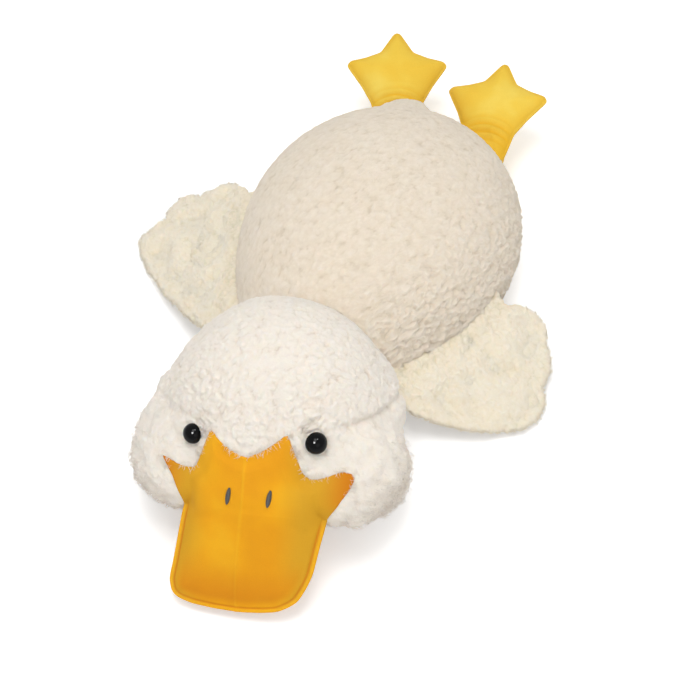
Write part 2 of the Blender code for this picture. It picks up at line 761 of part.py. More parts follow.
def scalloped(points):
    """The points joined by arcs that bulge outwards, as a pinked and gathered edge does."""
    made = []
    for start, end in zip(points[:-1], points[1:]):
        chord = Vector(end) - Vector(start)
        normal = Vector((-chord.y, chord.x))
        for i in range(WING_SCALLOP_STEPS):
            share = i / WING_SCALLOP_STEPS
            bulge = WING_SCALLOP_SHARE * 4.0 * share * (1.0 - share)
            made.append(tuple(Vector(start) + chord * share + normal * bulge))
    return made + [points[-1]]


def wing_front(place, along, outward):
    """How far the wing's root runs forward and still clears the head."""
    def clears(front):
        corner = place + along * front - outward * wing_root_inset(place, along, outward, front)
        return (corner - Vector(HEAD_CENTRE)).length > HEAD_RADIUS + WING_HEAD_GAP

    return last_passing(clears, 0.0, WING_FRONT)


def wing_outline(place, along, outward, sweep_share):
    """Seen from above: X towards the beak, Y outwards from the hinge line, swept towards the tail."""
    front_end = wing_front(place, along, outward)
    front = [(u * front_end, w * WING_REACH) for u, w in WING_FRONT_SHARES]
    rear = [(-WING_REAR_ROOT, 0.0)]
    rear += [(u * WING_REAR, w * WING_REACH) for u, w in WING_REAR_SHARES]
    root = []
    for i in range(WING_ROOT_STEPS + 1):
        u = front_end + (-WING_REAR_ROOT - front_end) * i / WING_ROOT_STEPS
        root.append((u, -wing_root_inset(place, along, outward, u)))
    edge = scalloped(rear + front[:1]) + front[1:]
    return [(u - sweep_share * w, w) for u, w in edge] + root


def wing_slope():
    """The wing droops from the side seam until its edge meets the floor."""
    drop = BODY_SEAM_HEIGHT - WING_CLOTH_THICKNESS - SEAM_GAP - WING_FLOOR_GAP
    return math.asin(drop / WING_REACH)


def make_wing(side_name, side, y, sweep_share):
    place, along, outward = body_side(side, y, WING_STANDOFF)
    outline = wing_outline(place, along, outward, sweep_share)
    slope = wing_slope()
    reach = outward * math.cos(slope) - Vector((0.0, 0.0, 1.0)) * math.sin(slope)
    up = along.cross(reach)
    matrix = Matrix((along, reach, up)).transposed().to_4x4()
    matrix.translation = place
    lift = (WING_CLOTH_THICKNESS + SEAM_GAP) / 2 * (1.0 if up.z > 0.0 else -1.0)
    for layer, offset in (("upper", lift), ("lower", -lift)):
        name = f"wing_{side_name}_{layer}_panel"
        mesh = curve_to_mesh(name, outline_curve(name, outline, WING_CLOTH_THICKNESS))
        panel = add_part(name, mesh, WING_FLEECE)
        panel.matrix_world = matrix @ Matrix.Translation((0.0, 0.0, offset))


# Feet

def foot_outline(slant):
    """A star of three toes on a leg that ends on a slanting seam. The star's middle is (0, 0)."""
    seam_y = -LEG_LENGTH - HIP_SEAM_INSET
    root = LEG_HALF_WIDTH * LEG_ROOT_SHARE
    seam = [(x, seam_y + x * math.tan(slant)) for x in (-root, -root / 2, 0.0, root / 2, root)]
    toes = [(x * FOOT_RADIUS, y * FOOT_RADIUS) for x, y in TOE_SHARES]
    left_waist = (-LEG_HALF_WIDTH, (toes[0][1] + seam[0][1]) / 2)
    right_waist = (LEG_HALF_WIDTH, (toes[0][1] + seam[-1][1]) / 2)
    left_toes = [(-x, y) for x, y in reversed(toes)]
    return seam + [right_waist] + toes + [(0.0, FOOT_RADIUS)] + left_toes + [left_waist]


def hip_y(x):
    """Where the rear of the body's widest line lies at a distance from its middle."""
    return last_passing(
        lambda y: body_half_width(y) > abs(x), BODY_CENTRE_Y, BODY_CENTRE_Y + BODY_HALF_LENGTH
    )


def foot_rise(_y):
    return FOOT_HALF_THICKNESS


def make_foot(side_name, side, swing_angle):
    """A foot that swings on the seam that sews its leg to the body's side line."""
    place, along, outward = body_side(side, hip_y(HIP_X), HIP_STANDOFF)
    swing, tilt = math.radians(swing_angle), math.radians(FOOT_TILT)
    flat = Vector((-math.sin(swing), math.cos(swing), 0.0))
    across = Vector((math.cos(swing), math.sin(swing), 0.0))
    seam_line = along * side
    slant = math.atan2(seam_line.dot(flat), seam_line.dot(across))
    outline = foot_outline(slant)
    reach = Matrix.Rotation(tilt, 3, seam_line) @ flat
    lateral = Matrix.Rotation(tilt, 3, seam_line) @ across
    matrix = Matrix((lateral, reach, lateral.cross(reach))).transposed().to_4x4()
    matrix.translation = place + reach * LEG_LENGTH
    hip = add_frame("hip_" + side_name, Matrix.Translation(place))
    for part_name, layer, look in (
        ("top_panel", 1, FOOT_YELLOW), ("sole_panel", -1, FOOT_YELLOW), ("filling", 0, FILLING_WHITE),
    ):
        name = f"foot_{side_name}_{part_name}"
        mesh = quilt_mesh(
            name, outline, (0.0, 0.0), FOOT_RING_SHARES, FOOT_FLANGE_SHARE,
            foot_rise, foot_rise, FOOT_CLOTH_THICKNESS, layer,
        )
        part = add_part(name, mesh, look, hip)
        part.matrix_local = Matrix.Translation(-place) @ matrix


def main():
    make_body()
    make_neck()
    make_head()
    make_bill()
    make_wing("left", 1, WING_LEFT_Y, WING_LEFT_SWEEP_SHARE)
    make_wing("right", -1, WING_RIGHT_Y, WING_RIGHT_SWEEP_SHARE)
    make_foot("left", 1, FOOT_LEFT_SWING)
    make_foot("right", -1, FOOT_RIGHT_SWING)
    bpy.context.view_layer.update()


main()
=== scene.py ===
"""The looks of the plush duck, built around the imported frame. Metres, +Z up, beak towards -Y."""

import json
import math

import bmesh
import bpy
import numpy as np
from mathutils import Matrix, Vector, geometry, noise


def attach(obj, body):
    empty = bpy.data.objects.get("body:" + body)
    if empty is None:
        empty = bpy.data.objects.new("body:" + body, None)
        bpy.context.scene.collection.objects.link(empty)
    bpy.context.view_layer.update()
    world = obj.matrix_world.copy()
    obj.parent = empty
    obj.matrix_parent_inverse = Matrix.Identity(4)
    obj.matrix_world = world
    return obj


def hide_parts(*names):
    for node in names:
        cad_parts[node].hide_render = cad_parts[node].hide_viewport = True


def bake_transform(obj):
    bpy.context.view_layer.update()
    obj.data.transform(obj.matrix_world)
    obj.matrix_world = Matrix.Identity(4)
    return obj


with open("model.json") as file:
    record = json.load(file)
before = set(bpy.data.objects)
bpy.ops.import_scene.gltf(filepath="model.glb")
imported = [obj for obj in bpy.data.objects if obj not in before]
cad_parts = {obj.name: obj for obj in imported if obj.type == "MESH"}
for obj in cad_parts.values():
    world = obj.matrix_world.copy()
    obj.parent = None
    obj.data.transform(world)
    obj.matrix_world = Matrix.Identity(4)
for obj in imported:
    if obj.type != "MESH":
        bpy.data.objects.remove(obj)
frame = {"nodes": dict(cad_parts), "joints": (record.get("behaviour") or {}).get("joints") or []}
noise.seed_set(1)  # Without a seed, noise_vector takes its offsets from the clock
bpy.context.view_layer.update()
JOINTS = {joint["name"]: joint for joint in frame["joints"]}

# Body, as the part has it
BODY_HALF_WIDTH = 0.1335
BODY_HALF_LENGTH = 0.193
BODY_HALF_HEIGHT = 0.102
BODY_SEAM_HEIGHT = 0.055
BODY_SEAM_WIDTH = 0.0022
BODY_SEAM_DEPTH = 0.0020
BODY_CENTRE_Y = 0.062
BODY_SWELL_SHARE = 0.27
BODY_TAPER_SHARE = -0.15
TAIL_LENGTH = 0.0145
TAIL_SPREAD_SHARE = 0.030
TAIL_DIRECTION_SHARES = (-0.28, 1.0, 0.34)
BODY_CELLS = 120

# Head, a ball about the neck pivot with two cheeks and a drawn-in chin
HEAD_RADIUS = 0.1085
HEAD_ROLL = 4.5
CHEEK_SWELL = 0.031
CHEEK_DIRECTION_SHARES = (1.0, -0.75, -0.2)
CHEEK_EDGE_SHARE = 0.75
CHIN_TUCK = 0.038
CHIN_DIRECTION_SHARES = (0.0, -1.0, -1.05)
CHIN_EDGE_SHARE = 0.44
CROWN_SEAM_TILT = 31.9
CROWN_SEAM_SHARE = 0.235
HEAD_CELLS = 124

# Neck
POCKET_RADIUS = HEAD_RADIUS + 0.0014
POCKET_ROUNDING = 0.003
SLEEVE_RADIUS = HEAD_RADIUS + 0.0004
SLEEVE_THICKNESS = 0.0007
SLEEVE_RIPPLE = 0.0002
SLEEVE_TURN = 8.0
SLEEVE_ANGLES = (13.0, 22.0)
SLEEVE_STEPS = 96
SLEEVE_RINGS = 20

# Pile: the size of its curls, and how far they stand out
BODY_PILE = (0.0072, 0.0108)
HEAD_PILE = (0.0072, 0.0090)
WING_PILE = (0.0052, 0.0052)
SLEEVE_PILE_SIZE = 0.0062

# Loose strands of the pile, with each kind's length, thickness and lift
LOCK_STEPS = 3
CHEEK_LOCKS = 1800
CHEEK_STRAND = (0.0095, 0.00026, 0.0026)
EDGE_LOCKS = 360
EDGE_STRAND = (0.0075, 0.00020, 0.0014)
WING_LOCKS = 1600
WING_STRAND = (0.0060, 0.00022, 0.0008)

# Floor contact
FLOOR_ROUNDING = 0.006
FLOOR_CLEARANCE = 0.0003
PILE_FADE_HEIGHT = 0.012

# Eyes
EYE_RADIUS = 0.0097
EYE_UNDER_RIM = ((0.98, -0.0005), (0.93, -0.0008))
EYE_BACK_HEIGHT = -0.0010
EYE_SCALES = {"left": 1.02, "right": 0.95}
EYE_DOME_HEIGHT = 0.0092
EYE_SHANK_RADIUS = 0.0024
EYE_SHANK_LENGTH = 0.0050
EYE_AZIMUTH = 37.5
EYE_ELEVATIONS = {"left": 35.3, "right": 33.5}
EYE_SEAT_GAP = 0.0006
EYE_STEPS = 48
SOCKET_DEPTH = 0.0036
SOCKETS = ((7.0, 0.0100, SOCKET_DEPTH), (0.0, 0.0110, 0.0022))
TEMPLES = {
    "left": ((110.0, 4.0, 24.0, 0.0038), (92.0, -4.0, 18.0, 0.0034), (66.0, -14.0, 26.0, -0.0034)),
    "right": ((118.0, 33.0, 32.0, -0.0036), (82.0, 19.0, 14.0, 0.0055), (76.0, 8.0, 24.0, -0.0012)),
}
SEAM_DEPTHS = {"left": 0.0030, "right": 0.0018}
SEAM_WIDTH = 0.0036
SEAM_OVERHANG = 0.0006
SEAM_OVERHANG_RISE = 0.009
SEAM_OVERHANG_WIDTH = 0.007
CHEEK_LUMPS = 0.0036
CHEEK_LUMP_SIZES = (0.028, 0.013)
MASK_CUSHION = 0.0009
MASK_CUSHION_WIDTH = 0.006

# Bill
BILL_HALF_WIDTH = 0.064
BILL_LENGTH = 0.096
BILL_TOP_RISE = 0.026
BILL_UNDER_DROP = 0.013
BILL_TIP_RISE = 0.0075
BILL_THINNING = 1.5
BILL_DROOP = 46.0
BILL_SKEW = 2.0
BILL_SEAT_SHARES = (-0.963, 0.028)
BILL_CLOTH_THICKNESS = 0.0022
BILL_FLANGE_WIDTH = 0.0046
BILL_ROOT_BLEND = 0.008
BILL_POINTS = 200
BILL_RINGS = 56
BILL_RIM_WIDTH = 0.0014
BILL_PUFF_POWER = 0.75
BILL_INNER_RINGS = 8
BILL_UNDER_POINTS = 300
BILL_UNDER_ROOT_SHARES = ((0.9, 0.030), (0.5, 0.040), (-0.5, 0.040), (-0.9, 0.030))
BILL_UNDER_RINGS = 30
BILL_UNDER_INNER_RINGS = 5
BILL_WRINKLE_SIZE = 0.026
BILL_WRINKLE_HEIGHT = 0.0008
MASK_HEIGHT = 0.0024
FLAP_POINTS = (
    (0.0660, -0.0020), (0.0642, -0.0135), (0.0620, -0.0265), (0.0584, -0.0525), (0.0543, -0.0650),
    (0.0476, -0.0789), (0.0410, -0.0845), (0.0307, -0.0908), (0.0155, -0.0941), (-0.0044, -0.0964),
    (-0.0274, -0.0964), (-0.0479, -0.0950), (-0.0612, -0.0916), (-0.0675, -0.0870), (-0.0707, -0.0755),
    (-0.0699, -0.0679), (-0.0684, -0.0548), (-0.0650, -0.0149), (-0.0635, -0.0058),
)
MASK_POINTS = (
    (-0.0642, 0.0010), (-0.0732, 0.0218), (-0.0861, 0.0389), (-0.0760, 0.0352), (-0.0640, 0.0318),
    (-0.0531, 0.0315), (-0.0470, 0.0500), (-0.0401, 0.0701), (-0.0280, 0.0590), (-0.0160, 0.0530),
    (-0.0052, 0.0498), (0.0090, 0.0580), (0.0284, 0.0749), (0.0370, 0.0560), (0.0430, 0.0400),
    (0.0498, 0.0353), (0.0580, 0.0372), (0.0772, 0.0458), (0.0860, 0.0445), (0.0882, 0.0410),
    (0.0849, 0.0308), (0.0738, 0.0114), (0.0690, 0.0040),
)
BILL_SEAM_POINTS = (
    (-0.0070, -0.0964), (-0.0083, -0.0780), (-0.0088, -0.0570), (-0.0080, -0.0410), (-0.0070, -0.0130),
    (-0.0056, 0.0140), (-0.0060, 0.0480),
)
SEAM_RIDGE_HEIGHT = 0.0007
SEAM_RIDGE_WIDTH = 0.0010
EDGE_SEAM_DEPTH = 0.0006
EDGE_SEAM_WIDTH = 0.0009
NOSTRIL_HALF_WIDTH = 0.0023
NOSTRIL_HALF_LENGTH = 0.0080
NOSTRIL_PLACES = {"left": (0.0179, 0.0162), "right": (-0.0184, 0.0135)}
NOSTRIL_SPLAY = -7.0
NOSTRIL_THREADS = 19
NOSTRIL_THREAD_POINTS = 7
NOSTRIL_CROWN = 0.0008

# Wings
WING_REACH = 0.115
WING_REAR_ROOT = 0.066
WING_HEAD_GAP = 0.0052
WING_HALF_THICKNESS = 0.0032
WING_ROOT_REACH = 0.005
WING_SAG_POWER = 1.35
WING_EDGE_ROUNDING = 0.014
WING_RUFFLE = 0.0012
WING_RUFFLES_PER_METRE = 150.0
WING_DIMPLE_SIZE = 0.021
WING_DIMPLE_DEPTH = 0.0085
WING_FLOOR_ROOM = 0.0012
WING_POINTS = 420
WING_STEP = 0.0013
WING_SCALLOP_SHARE = 0.13
WING_EDGES = {
    "left": (
        (-0.066, 0.000), (-0.084, 0.017), (-0.088, 0.031), (-0.075, 0.052), (-0.066, 0.069), (-0.055, 0.078),
        (-0.043, 0.082), (-0.022, 0.103), (-0.007, 0.104), (0.010, 0.099), (0.040, 0.080), (0.068, 0.050),
        (0.085, 0.026), (0.089, 0.009),
    ),
    "right": (
        (-0.066, -0.004), (-0.082, 0.009), (-0.092, 0.028), (-0.089, 0.040), (-0.085, 0.057), (-0.090, 0.078),
        (-0.081, 0.090), (-0.062, 0.093), (-0.051, 0.106), (-0.040, 0.119), (-0.030, 0.120), (-0.001, 0.107),
        (0.045, 0.073), (0.086, 0.036), (0.101, 0.021),
    ),
}
WING_SCALLOPS = 10
WING_FRONT = 0.104

# Feet
FOOT_RADIUS = 0.0556
LEG_LENGTH = 0.060
LEG_HALF_WIDTH = 0.025
LEG_ROOT_SHARE = 0.86
FOOT_HALF_THICKNESS = 0.0155
FOOT_CLOTH_THICKNESS = 0.0020
FOOT_FLANGE_WIDTH = 0.0014
FOOT_RIM_WIDTH = 0.0010
FOOT_PUFF_WIDTH = 0.030
FOOT_PUFF_POWER = 0.62
FOOT_FOLDS_PER_METRE = 700.0
FOOT_FOLD_HEIGHT = 0.0019
FOOT_TILT = 14.0
FOOT_SWINGS = {"left": 9.5, "right": 24.0}
FOOT_POINTS = 240
FOOT_RINGS = 44
TOE_SHARES = (
    (0.50, -0.58), (0.68, -0.22), (0.90, 0.13), (0.97, 0.25), (0.90, 0.35),
    (0.60, 0.43), (0.32, 0.55), (0.18, 0.78), (0.07, 0.965),
)

# Picture
PHOTO_SIZE = 680
CAMERA_AZIMUTH = 25.0
CAMERA_ELEVATION = 52.0
CAMERA_DISTANCE = 1.85
FOCAL_PIXELS = 1850.0
SENSOR_WIDTH = 36.0
FLOOR_GLOW = 0.30
FLOOR_HALF_WIDTH = 6.0
FLOOR_STEPS = 24
AMBIENT_LIGHT = 0.69
WHITE = (1.0, 1.0, 1.0)

SIDES = (("left", 1), ("right", -1))


# Small helpers

def unit(vectors):
    vectors = np.asarray(vectors, float)
    return vectors / np.maximum(np.linalg.norm(vectors, axis=-1, keepdims=True), 1e-12)


def smooth(value, low, high):
    """0 at low, 1 at high, and eased between them."""
    share = np.clip((np.asarray(value, float) - low) / (high - low), 0.0, 1.0)
    return share * share * (3.0 - 2.0 * share)


def kernel(cosine, edge_share):
    """A smooth bump over directions: 1 where cosine is 1, and 0 from edge_share down."""
    return smooth(cosine, edge_share, 1.0)


def bell(distance, width):
    """1 at no distance, falling off evenly on both sides."""
    return np.exp(-(distance / width) ** 2)


def bulge(distance, width, power=0.5):
    """0 at a rim and 1 from width inwards, rounded between them."""
    return (1.0 - (1.0 - np.clip(distance / width, 0.0, 1.0)) ** 2) ** power


def moved(matrix, points):
    """The points carried by a matrix."""
    array = np.array(matrix)
    return points @ array[:3, :3].T + array[:3, 3]


def turned(matrix, vectors):
    return vectors @ np.array(matrix)[:3, :3].T


def noise_at(points, size, seed=0.0):
    """Smooth noise of about one at each point, whose lumps are size across."""
    shift = Vector((seed * 7.3, seed * 3.1, seed * 5.7))
    return np.array([noise.noise(Vector(point) / size + shift) for point in points])


def make_mesh(name, points, faces):
    mesh = bpy.data.meshes.new(name)
    mesh.from_pydata([tuple(point) for point in points], [], faces)
    mesh.update()
    mesh.shade_smooth()
    return mesh


def grid_faces(rows, columns, wrapped=True):
    """Faces between the points of a grid that is given row by row, whose rows may be rings."""
    faces = []
    for i in range(rows - 1):
        for j in range(columns if wrapped else columns - 1):
            a, b = i * columns + j, i * columns + (j + 1) % columns
            faces.append((a, b, b + columns, a + columns))
    return faces


def tube_faces(rows, columns):
    """Faces of a tube of rings, closed with a flat face at both ends."""
    ends = [tuple(reversed(range(columns))), tuple(range((rows - 1) * columns, rows * columns))]
    return ends + grid_faces(rows, columns)


def pillow_faces(count, rings):
    """Faces of a closed form: rings of count points between a first and a last point."""
    faces = []
    last = 1 + (rings - 1) * count
    for j in range(count):
        k = (j + 1) % count
        faces += [(0, 1 + j, 1 + k), (last + j, last + count, last + k)]
    for i in range(rings - 1):
        for j in range(count):
            a, b = 1 + i * count + j, 1 + i * count + (j + 1) % count
            faces.append((a, a + count, b + count, b))
    return faces


def facing_out(points, faces):
    """The faces of a closed surface, all turned round where they look inwards."""
    volume = 0.0
    for size in {len(face) for face in faces}:
        corners = points[np.array([face for face in faces if len(face) == size])]
        for k in range(1, size - 1):
            volume += np.sum(corners[:, 0] * np.cross(corners[:, k], corners[:, k + 1]))
    return [tuple(reversed(face)) for face in faces] if volume < 0.0 else faces


def add_piece(name, points, faces, material):
    piece = bpy.data.objects.new(name, make_mesh(name, points, facing_out(points, faces)))
    bpy.context.scene.collection.objects.link(piece)
    piece.data.materials.append(material)
    return piece


def normals_of(points, faces):
    mesh = make_mesh("probe", points, faces)
    normals = np.array([tuple(vertex.vector) for vertex in mesh.vertex_normals])
    bpy.data.meshes.remove(mesh)
    return normals


def add_attributes(piece, **layers):
    """A value for each point under each name, and 0 for the points after the last value."""
    for name, values in layers.items():
        filled = np.zeros(len(piece.data.vertices), np.float32)
        filled[:len(values)] = values
        piece.data.attributes.new(name, "FLOAT", "POINT").data.foreach_set("value", filled)


def ball(cells):
    """Even directions over a ball and its faces, from a cube's grid."""
    bm = bmesh.new()
    bmesh.ops.create_cube(bm, size=2.0)
    bmesh.ops.subdivide_edges(bm, edges=bm.edges, cuts=cells - 1, use_grid_fill=True)
    points = np.array([tuple(vertex.co) for vertex in bm.verts])
    faces = [[vertex.index for vertex in face.verts] for face in bm.faces]
    bm.free()
    return unit(np.tan(points * math.pi / 4)), faces


# Pile: curls pressed against each other, with painted shade between them

def curls(points, size, seed):
    """The height of curly pile, from 0 between the curls to 1 on top of them."""
    heights = np.empty(len(points))
    shift = Vector((seed * 2.9, seed * 4.7, seed * 1.3))
    for i, point in enumerate(points):
        place = Vector(point) / size + shift
        place += noise.noise_vector(place * 0.7) * 0.60 + noise.noise_vector(place * 1.9) * 0.35
        near, next_near = noise.voronoi(place)[0][:2]
        clump = 1.0 - min(near * 1.1, 1.0) ** 2
        gap = min((next_near - near) * 2.6, 1.0)
        curl = 0.5 + 0.5 * noise.noise(place * 0.6)
        strand = 0.5 + 0.5 * noise.noise(place * 2.8)
        wisp = 0.5 + 0.5 * noise.noise(place * 5.9)
        heights[i] = clump * 0.30 + gap * 0.12 + curl * 0.16 + strand * 0.24 + wisp * 0.18
    return heights


def grow_pile(points, faces, pile, seed, share):
    """Points raised along their normals into curls, and how high each one is."""
    size, depth = pile
    height = curls(points, size, seed)
    rise = (height - 0.5) * depth * share * smooth(points[:, 2], 0.0, PILE_FADE_HEIGHT)
    return points + normals_of(points, faces) * rise[:, None], height


def add_locks(name, roots, normals, flows, kind, seed, material):
    """Loose strands, bent and tapered: one for each root, rising off the pile and lying along its flow."""
    length, thickness, lift = kind
    rng = np.random.default_rng(seed)
    count = len(roots)
    flows = unit(flows - normals * np.sum(flows * normals, axis=1)[:, None])
    across = np.cross(normals, flows)
    lengths = length * rng.uniform(0.35, 1.25, count)
    bend = rng.normal(0.0, 0.9, count)
    wave = rng.normal(0.0, 0.7, count)
    path = roots - normals * thickness
    rows = []
    for k in range(LOCK_STEPS + 1):
        share = k / LOCK_STEPS
        radius = thickness * (1.0 - share) ** 0.7 + 0.00005
        rise = lift * math.sin(math.pi * min(share * 0.85, 1.0))
        for corner in range(3):
            angle = math.tau * corner / 3
            around = normals * (rise + radius * math.sin(angle)) + across * radius * math.cos(angle)
            rows.append(path + around)
        angle = bend * share + wave * math.sin(math.tau * share)
        ahead = flows * np.cos(angle)[:, None] + across * np.sin(angle)[:, None]
        path = path + ahead * (lengths / LOCK_STEPS)[:, None]
    points = np.stack(rows, axis=1).reshape(-1, 3)
    points[:, 2] = np.maximum(points[:, 2], FLOOR_CLEARANCE)
    size = 3 * (LOCK_STEPS + 1)
    strand = tube_faces(LOCK_STEPS + 1, 3)
    faces = [tuple(size * i + corner for corner in face) for i in range(count) for face in strand]
    piece = add_piece(name, points, faces, material)
    add_attributes(piece, pile=np.repeat(rng.uniform(0.55, 1.0, count), size))
    return piece


def some(count, weights, seed):
    """Places picked out of many, by weight and without repeats."""
    rng = np.random.default_rng(seed)
    weights = np.asarray(weights, float)
    count = min(count, int(np.count_nonzero(weights)))
    return rng.choice(len(weights), count, replace=False, p=weights / weights.sum())


def random_flows(count, seed):
    return unit(np.random.default_rng(seed).normal(0.0, 1.0, (count, 3)))


def set_on_floor(points):
    """Points pressed flat where they would go through the floor."""
    height = points[:, 2]
    points = points.copy()
    points[:, 2] = (height + np.sqrt(height * height + FLOOR_ROUNDING ** 2)) / 2
    low = FLOOR_ROUNDING ** 2 / (4 * BODY_SEAM_HEIGHT)
    points[:, 2] = np.maximum(points[:, 2] - low, FLOOR_CLEARANCE)
    return points


# Materials

def new_material(name):
    material = bpy.data.materials.new(name)
    material.use_nodes = True
    return material, material.node_tree, material.node_tree.nodes["Principled BSDF"]


def add_node(tree, kind, **values):
    node = tree.nodes.new(kind)
    for key, value in values.items():
        setattr(node, key, value)
    return node


def set_inputs(node, values):
    for name, value in values.items():
        node.inputs[name].default_value = value


def noise_texture(tree, scale, detail=2.0, roughness=0.6):
    """Noise over the piece's own rest shape, at a scale per metre."""
    place = add_node(tree, "ShaderNodeTexCoord")
    texture = add_node(tree, "ShaderNodeTexNoise")
    set_inputs(texture, {"Scale": scale, "Detail": detail, "Roughness": roughness})
    tree.links.new(place.outputs["Object"], texture.inputs["Vector"])
    return texture.outputs["Fac"]


def ramp(tree, source, stops):
    """A colour for each value of the source: stops are (place, linear colour)."""
    node = add_node(tree, "ShaderNodeValToRGB")
    elements = node.color_ramp.elements
    while len(elements) < len(stops):
        elements.new(0.5)
    for element, (place, colour) in zip(elements, stops):
        element.position = place
        element.color = (*colour, 1.0)
    tree.links.new(source, node.inputs["Fac"])
    return node.outputs["Color"]


def mix_colour(tree, factor, first, second, blend="MIX"):
    """Two colours mixed. The factor and the colours are sockets or values."""
    node = add_node(tree, "ShaderNodeMix", data_type="RGBA", blend_type=blend)
    for name, kind, value in (("Factor", "VALUE", factor), ("A", "RGBA", first), ("B", "RGBA", second)):
        socket = next(s for s in node.inputs if s.name == name and s.type == kind)
        if isinstance(value, bpy.types.NodeSocket):
            tree.links.new(value, socket)
        else:
            socket.default_value = value if kind == "VALUE" else (*value, 1.0)
    return next(s for s in node.outputs if s.type == "RGBA")


def attribute(tree, name):
    return add_node(tree, "ShaderNodeAttribute", attribute_name=name).outputs["Fac"]


def bump(tree, shader, height, distance, strength, before=None):
    node = add_node(tree, "ShaderNodeBump")
    set_inputs(node, {"Distance": distance, "Strength": strength})
    tree.links.new(height, node.inputs["Height"])
    if before:
        tree.links.new(before, node.inputs["Normal"])
    tree.links.new(node.outputs["Normal"], shader.inputs["Normal"])
    return node.outputs["Normal"]


def paint(tree, shader, colour, fibres, shade, full):
    """The base colour with painted shade, darker by a shade in the hollows between fine fibres."""
    depth = ramp(tree, fibres, ((0.30, (shade, shade, shade)), (full, WHITE)))
    tree.links.new(mix_colour(tree, 1.0, colour, depth, "MULTIPLY"), shader.inputs["Base Color"])


def fleece_material(name, tip, root, warm):
    """Curly pile: pale tips, painted shade between the curls in a darker and warmer colour, and fine fibres.
    """
    material, tree, shader = new_material(name)
    # The pile value sets painted shade: its low end, the root colour, stands for the shade between the curls.
    pile = ramp(tree, attribute(tree, "pile"), ((0.10, root), (0.42, warm), (0.78, tip)))
    patches = mix_colour(tree, noise_texture(tree, 26.0), pile, tip, "MULTIPLY")
    fibres = noise_texture(tree, 1400.0, 4.0, 0.7)
    paint(tree, shader, mix_colour(tree, 0.82, patches, pile), fibres, 0.92, 0.60)
    set_inputs(shader, {
        "Roughness": 0.95,
        "Specular IOR Level": 0.08,
        "Sheen Weight": 0.08,
        "Sheen Roughness": 0.6,
        "Subsurface Weight": 0.35,
        "Subsurface Radius": (1.0, 0.8, 0.6),
        "Subsurface Scale": 0.003,
    })
    strands = bump(tree, shader, noise_texture(tree, 430.0, 5.0, 0.75), 0.0032, 0.75)
    bump(tree, shader, fibres, 0.0005, 0.5, strands)
    return material


def velour_material(name, deep, mid, light, side_shade, cloudy):
    """Short brushed cloth: cloudy colour where the nap lies differently, over a fine knit."""
    material, tree, shader = new_material(name)
    clouds = noise_texture(tree, cloudy, 2.5, 0.55)
    shaded = tuple(0.75 * m + 0.25 * d for m, d in zip(mid, deep))
    colour = ramp(tree, clouds, ((0.36, shaded), (0.50, mid), (0.64, light)))
    # Two layers paint shade: aside darkens the bill's sides, and the last layer darkens tips, folds, grooves
    # and the bill's underside towards the deep colour; edge lightens ridges and rims.
    for layer, tone in (("aside", side_shade), ("edge", light), ("fold", deep)):
        colour = mix_colour(tree, attribute(tree, layer), colour, tone)
    nap = noise_texture(tree, 1700.0, 3.0, 0.7)
    paint(tree, shader, colour, nap, 0.90, 0.65)
    set_inputs(shader, {
        "Roughness": 0.85,
        "Specular IOR Level": 0.08,
        "Sheen Weight": 0.08,
        "Sheen Roughness": 0.45,
        "Sheen Tint": (1.0, 0.7, 0.2, 1.0),
    })
    bump(tree, shader, nap, 0.0004, 0.5)
    return material


def grained_material(name, dark, pale, scale, roughness, specular, relief=0.0):
    """A fine grain between two tones of one colour, with a slight relief where one is given."""
    material, tree, shader = new_material(name)
    grain = noise_texture(tree, scale)
    tree.links.new(ramp(tree, grain, ((0.3, dark), (0.7, pale))), shader.inputs["Base Color"])
    set_inputs(shader, {"Roughness": roughness, "Specular IOR Level": specular})
    if relief:
        bump(tree, shader, grain, relief, 0.3)
    return material


BODY_FLEECE = fleece_material("body_fleece", (0.92, 0.825, 0.70), (0.68, 0.575, 0.43), (0.855, 0.755, 0.62))
HEAD_FLEECE = fleece_material("head_fleece", (0.98, 0.91, 0.825), (0.75, 0.65, 0.54), (0.95, 0.87, 0.775))
WING_FLEECE = fleece_material("wing_fleece", (0.98, 0.895, 0.755), (0.78, 0.71, 0.51), (0.95, 0.855, 0.69))
HEAD_STRANDS = grained_material("head_strands", (0.81, 0.747, 0.675), (0.90, 0.83, 0.75), 260.0, 1.0, 0.05)
WING_STRANDS = grained_material("wing_strands", (0.837, 0.774, 0.657), (0.93, 0.86, 0.73), 260.0, 1.0, 0.05)
BILL_CLOTH = velour_material(
    "bill_cloth", (0.60, 0.190, 0.004), (0.80, 0.355, 0.006), (0.83, 0.41, 0.010), (0.64, 0.33, 0.016), 16.0
)
FOOT_CLOTH = velour_material(
    "foot_cloth", (0.78, 0.42, 0.016), (0.84, 0.57, 0.070), (0.86, 0.63, 0.105), (0.78, 0.46, 0.030), 20.0
)
NOSTRIL_THREAD = grained_material(
    "nostril_thread", (0.0595, 0.0595, 0.056), (0.085, 0.085, 0.080), 2500.0, 0.60, 0.25, relief=0.0002
)
EYE_PLASTIC = grained_material(
    "eye_plastic", (0.0020, 0.0020, 0.0025), (0.0035, 0.0035, 0.0040), 700.0, 0.09, 0.09
)
WASHER_PLASTIC = grained_material(
    "washer_plastic", (0.70, 0.70, 0.69), (0.78, 0.78, 0.77), 900.0, 0.5, 0.5, relief=0.0002
)


# The body

def body_points(directions):
    x, t, z = directions.T
    swell = 1.0 + BODY_SWELL_SHARE * t + BODY_TAPER_SHARE * t * t
    height = BODY_HALF_HEIGHT * (1.0 + BODY_SWELL_SHARE / 2 * t)
    tail_direction = unit(TAIL_DIRECTION_SHARES)
    tail = TAIL_LENGTH * kernel(directions @ tail_direction, 1.0 - TAIL_SPREAD_SHARE) ** 2
    return np.stack((
        BODY_HALF_WIDTH * swell * x,
        BODY_CENTRE_Y + BODY_HALF_LENGTH * t + tail,
        BODY_SEAM_HEIGHT + height * z,
    ), axis=1)


HEAD_CENTRE = np.array(JOINTS["head_turn"]["pos_m"])


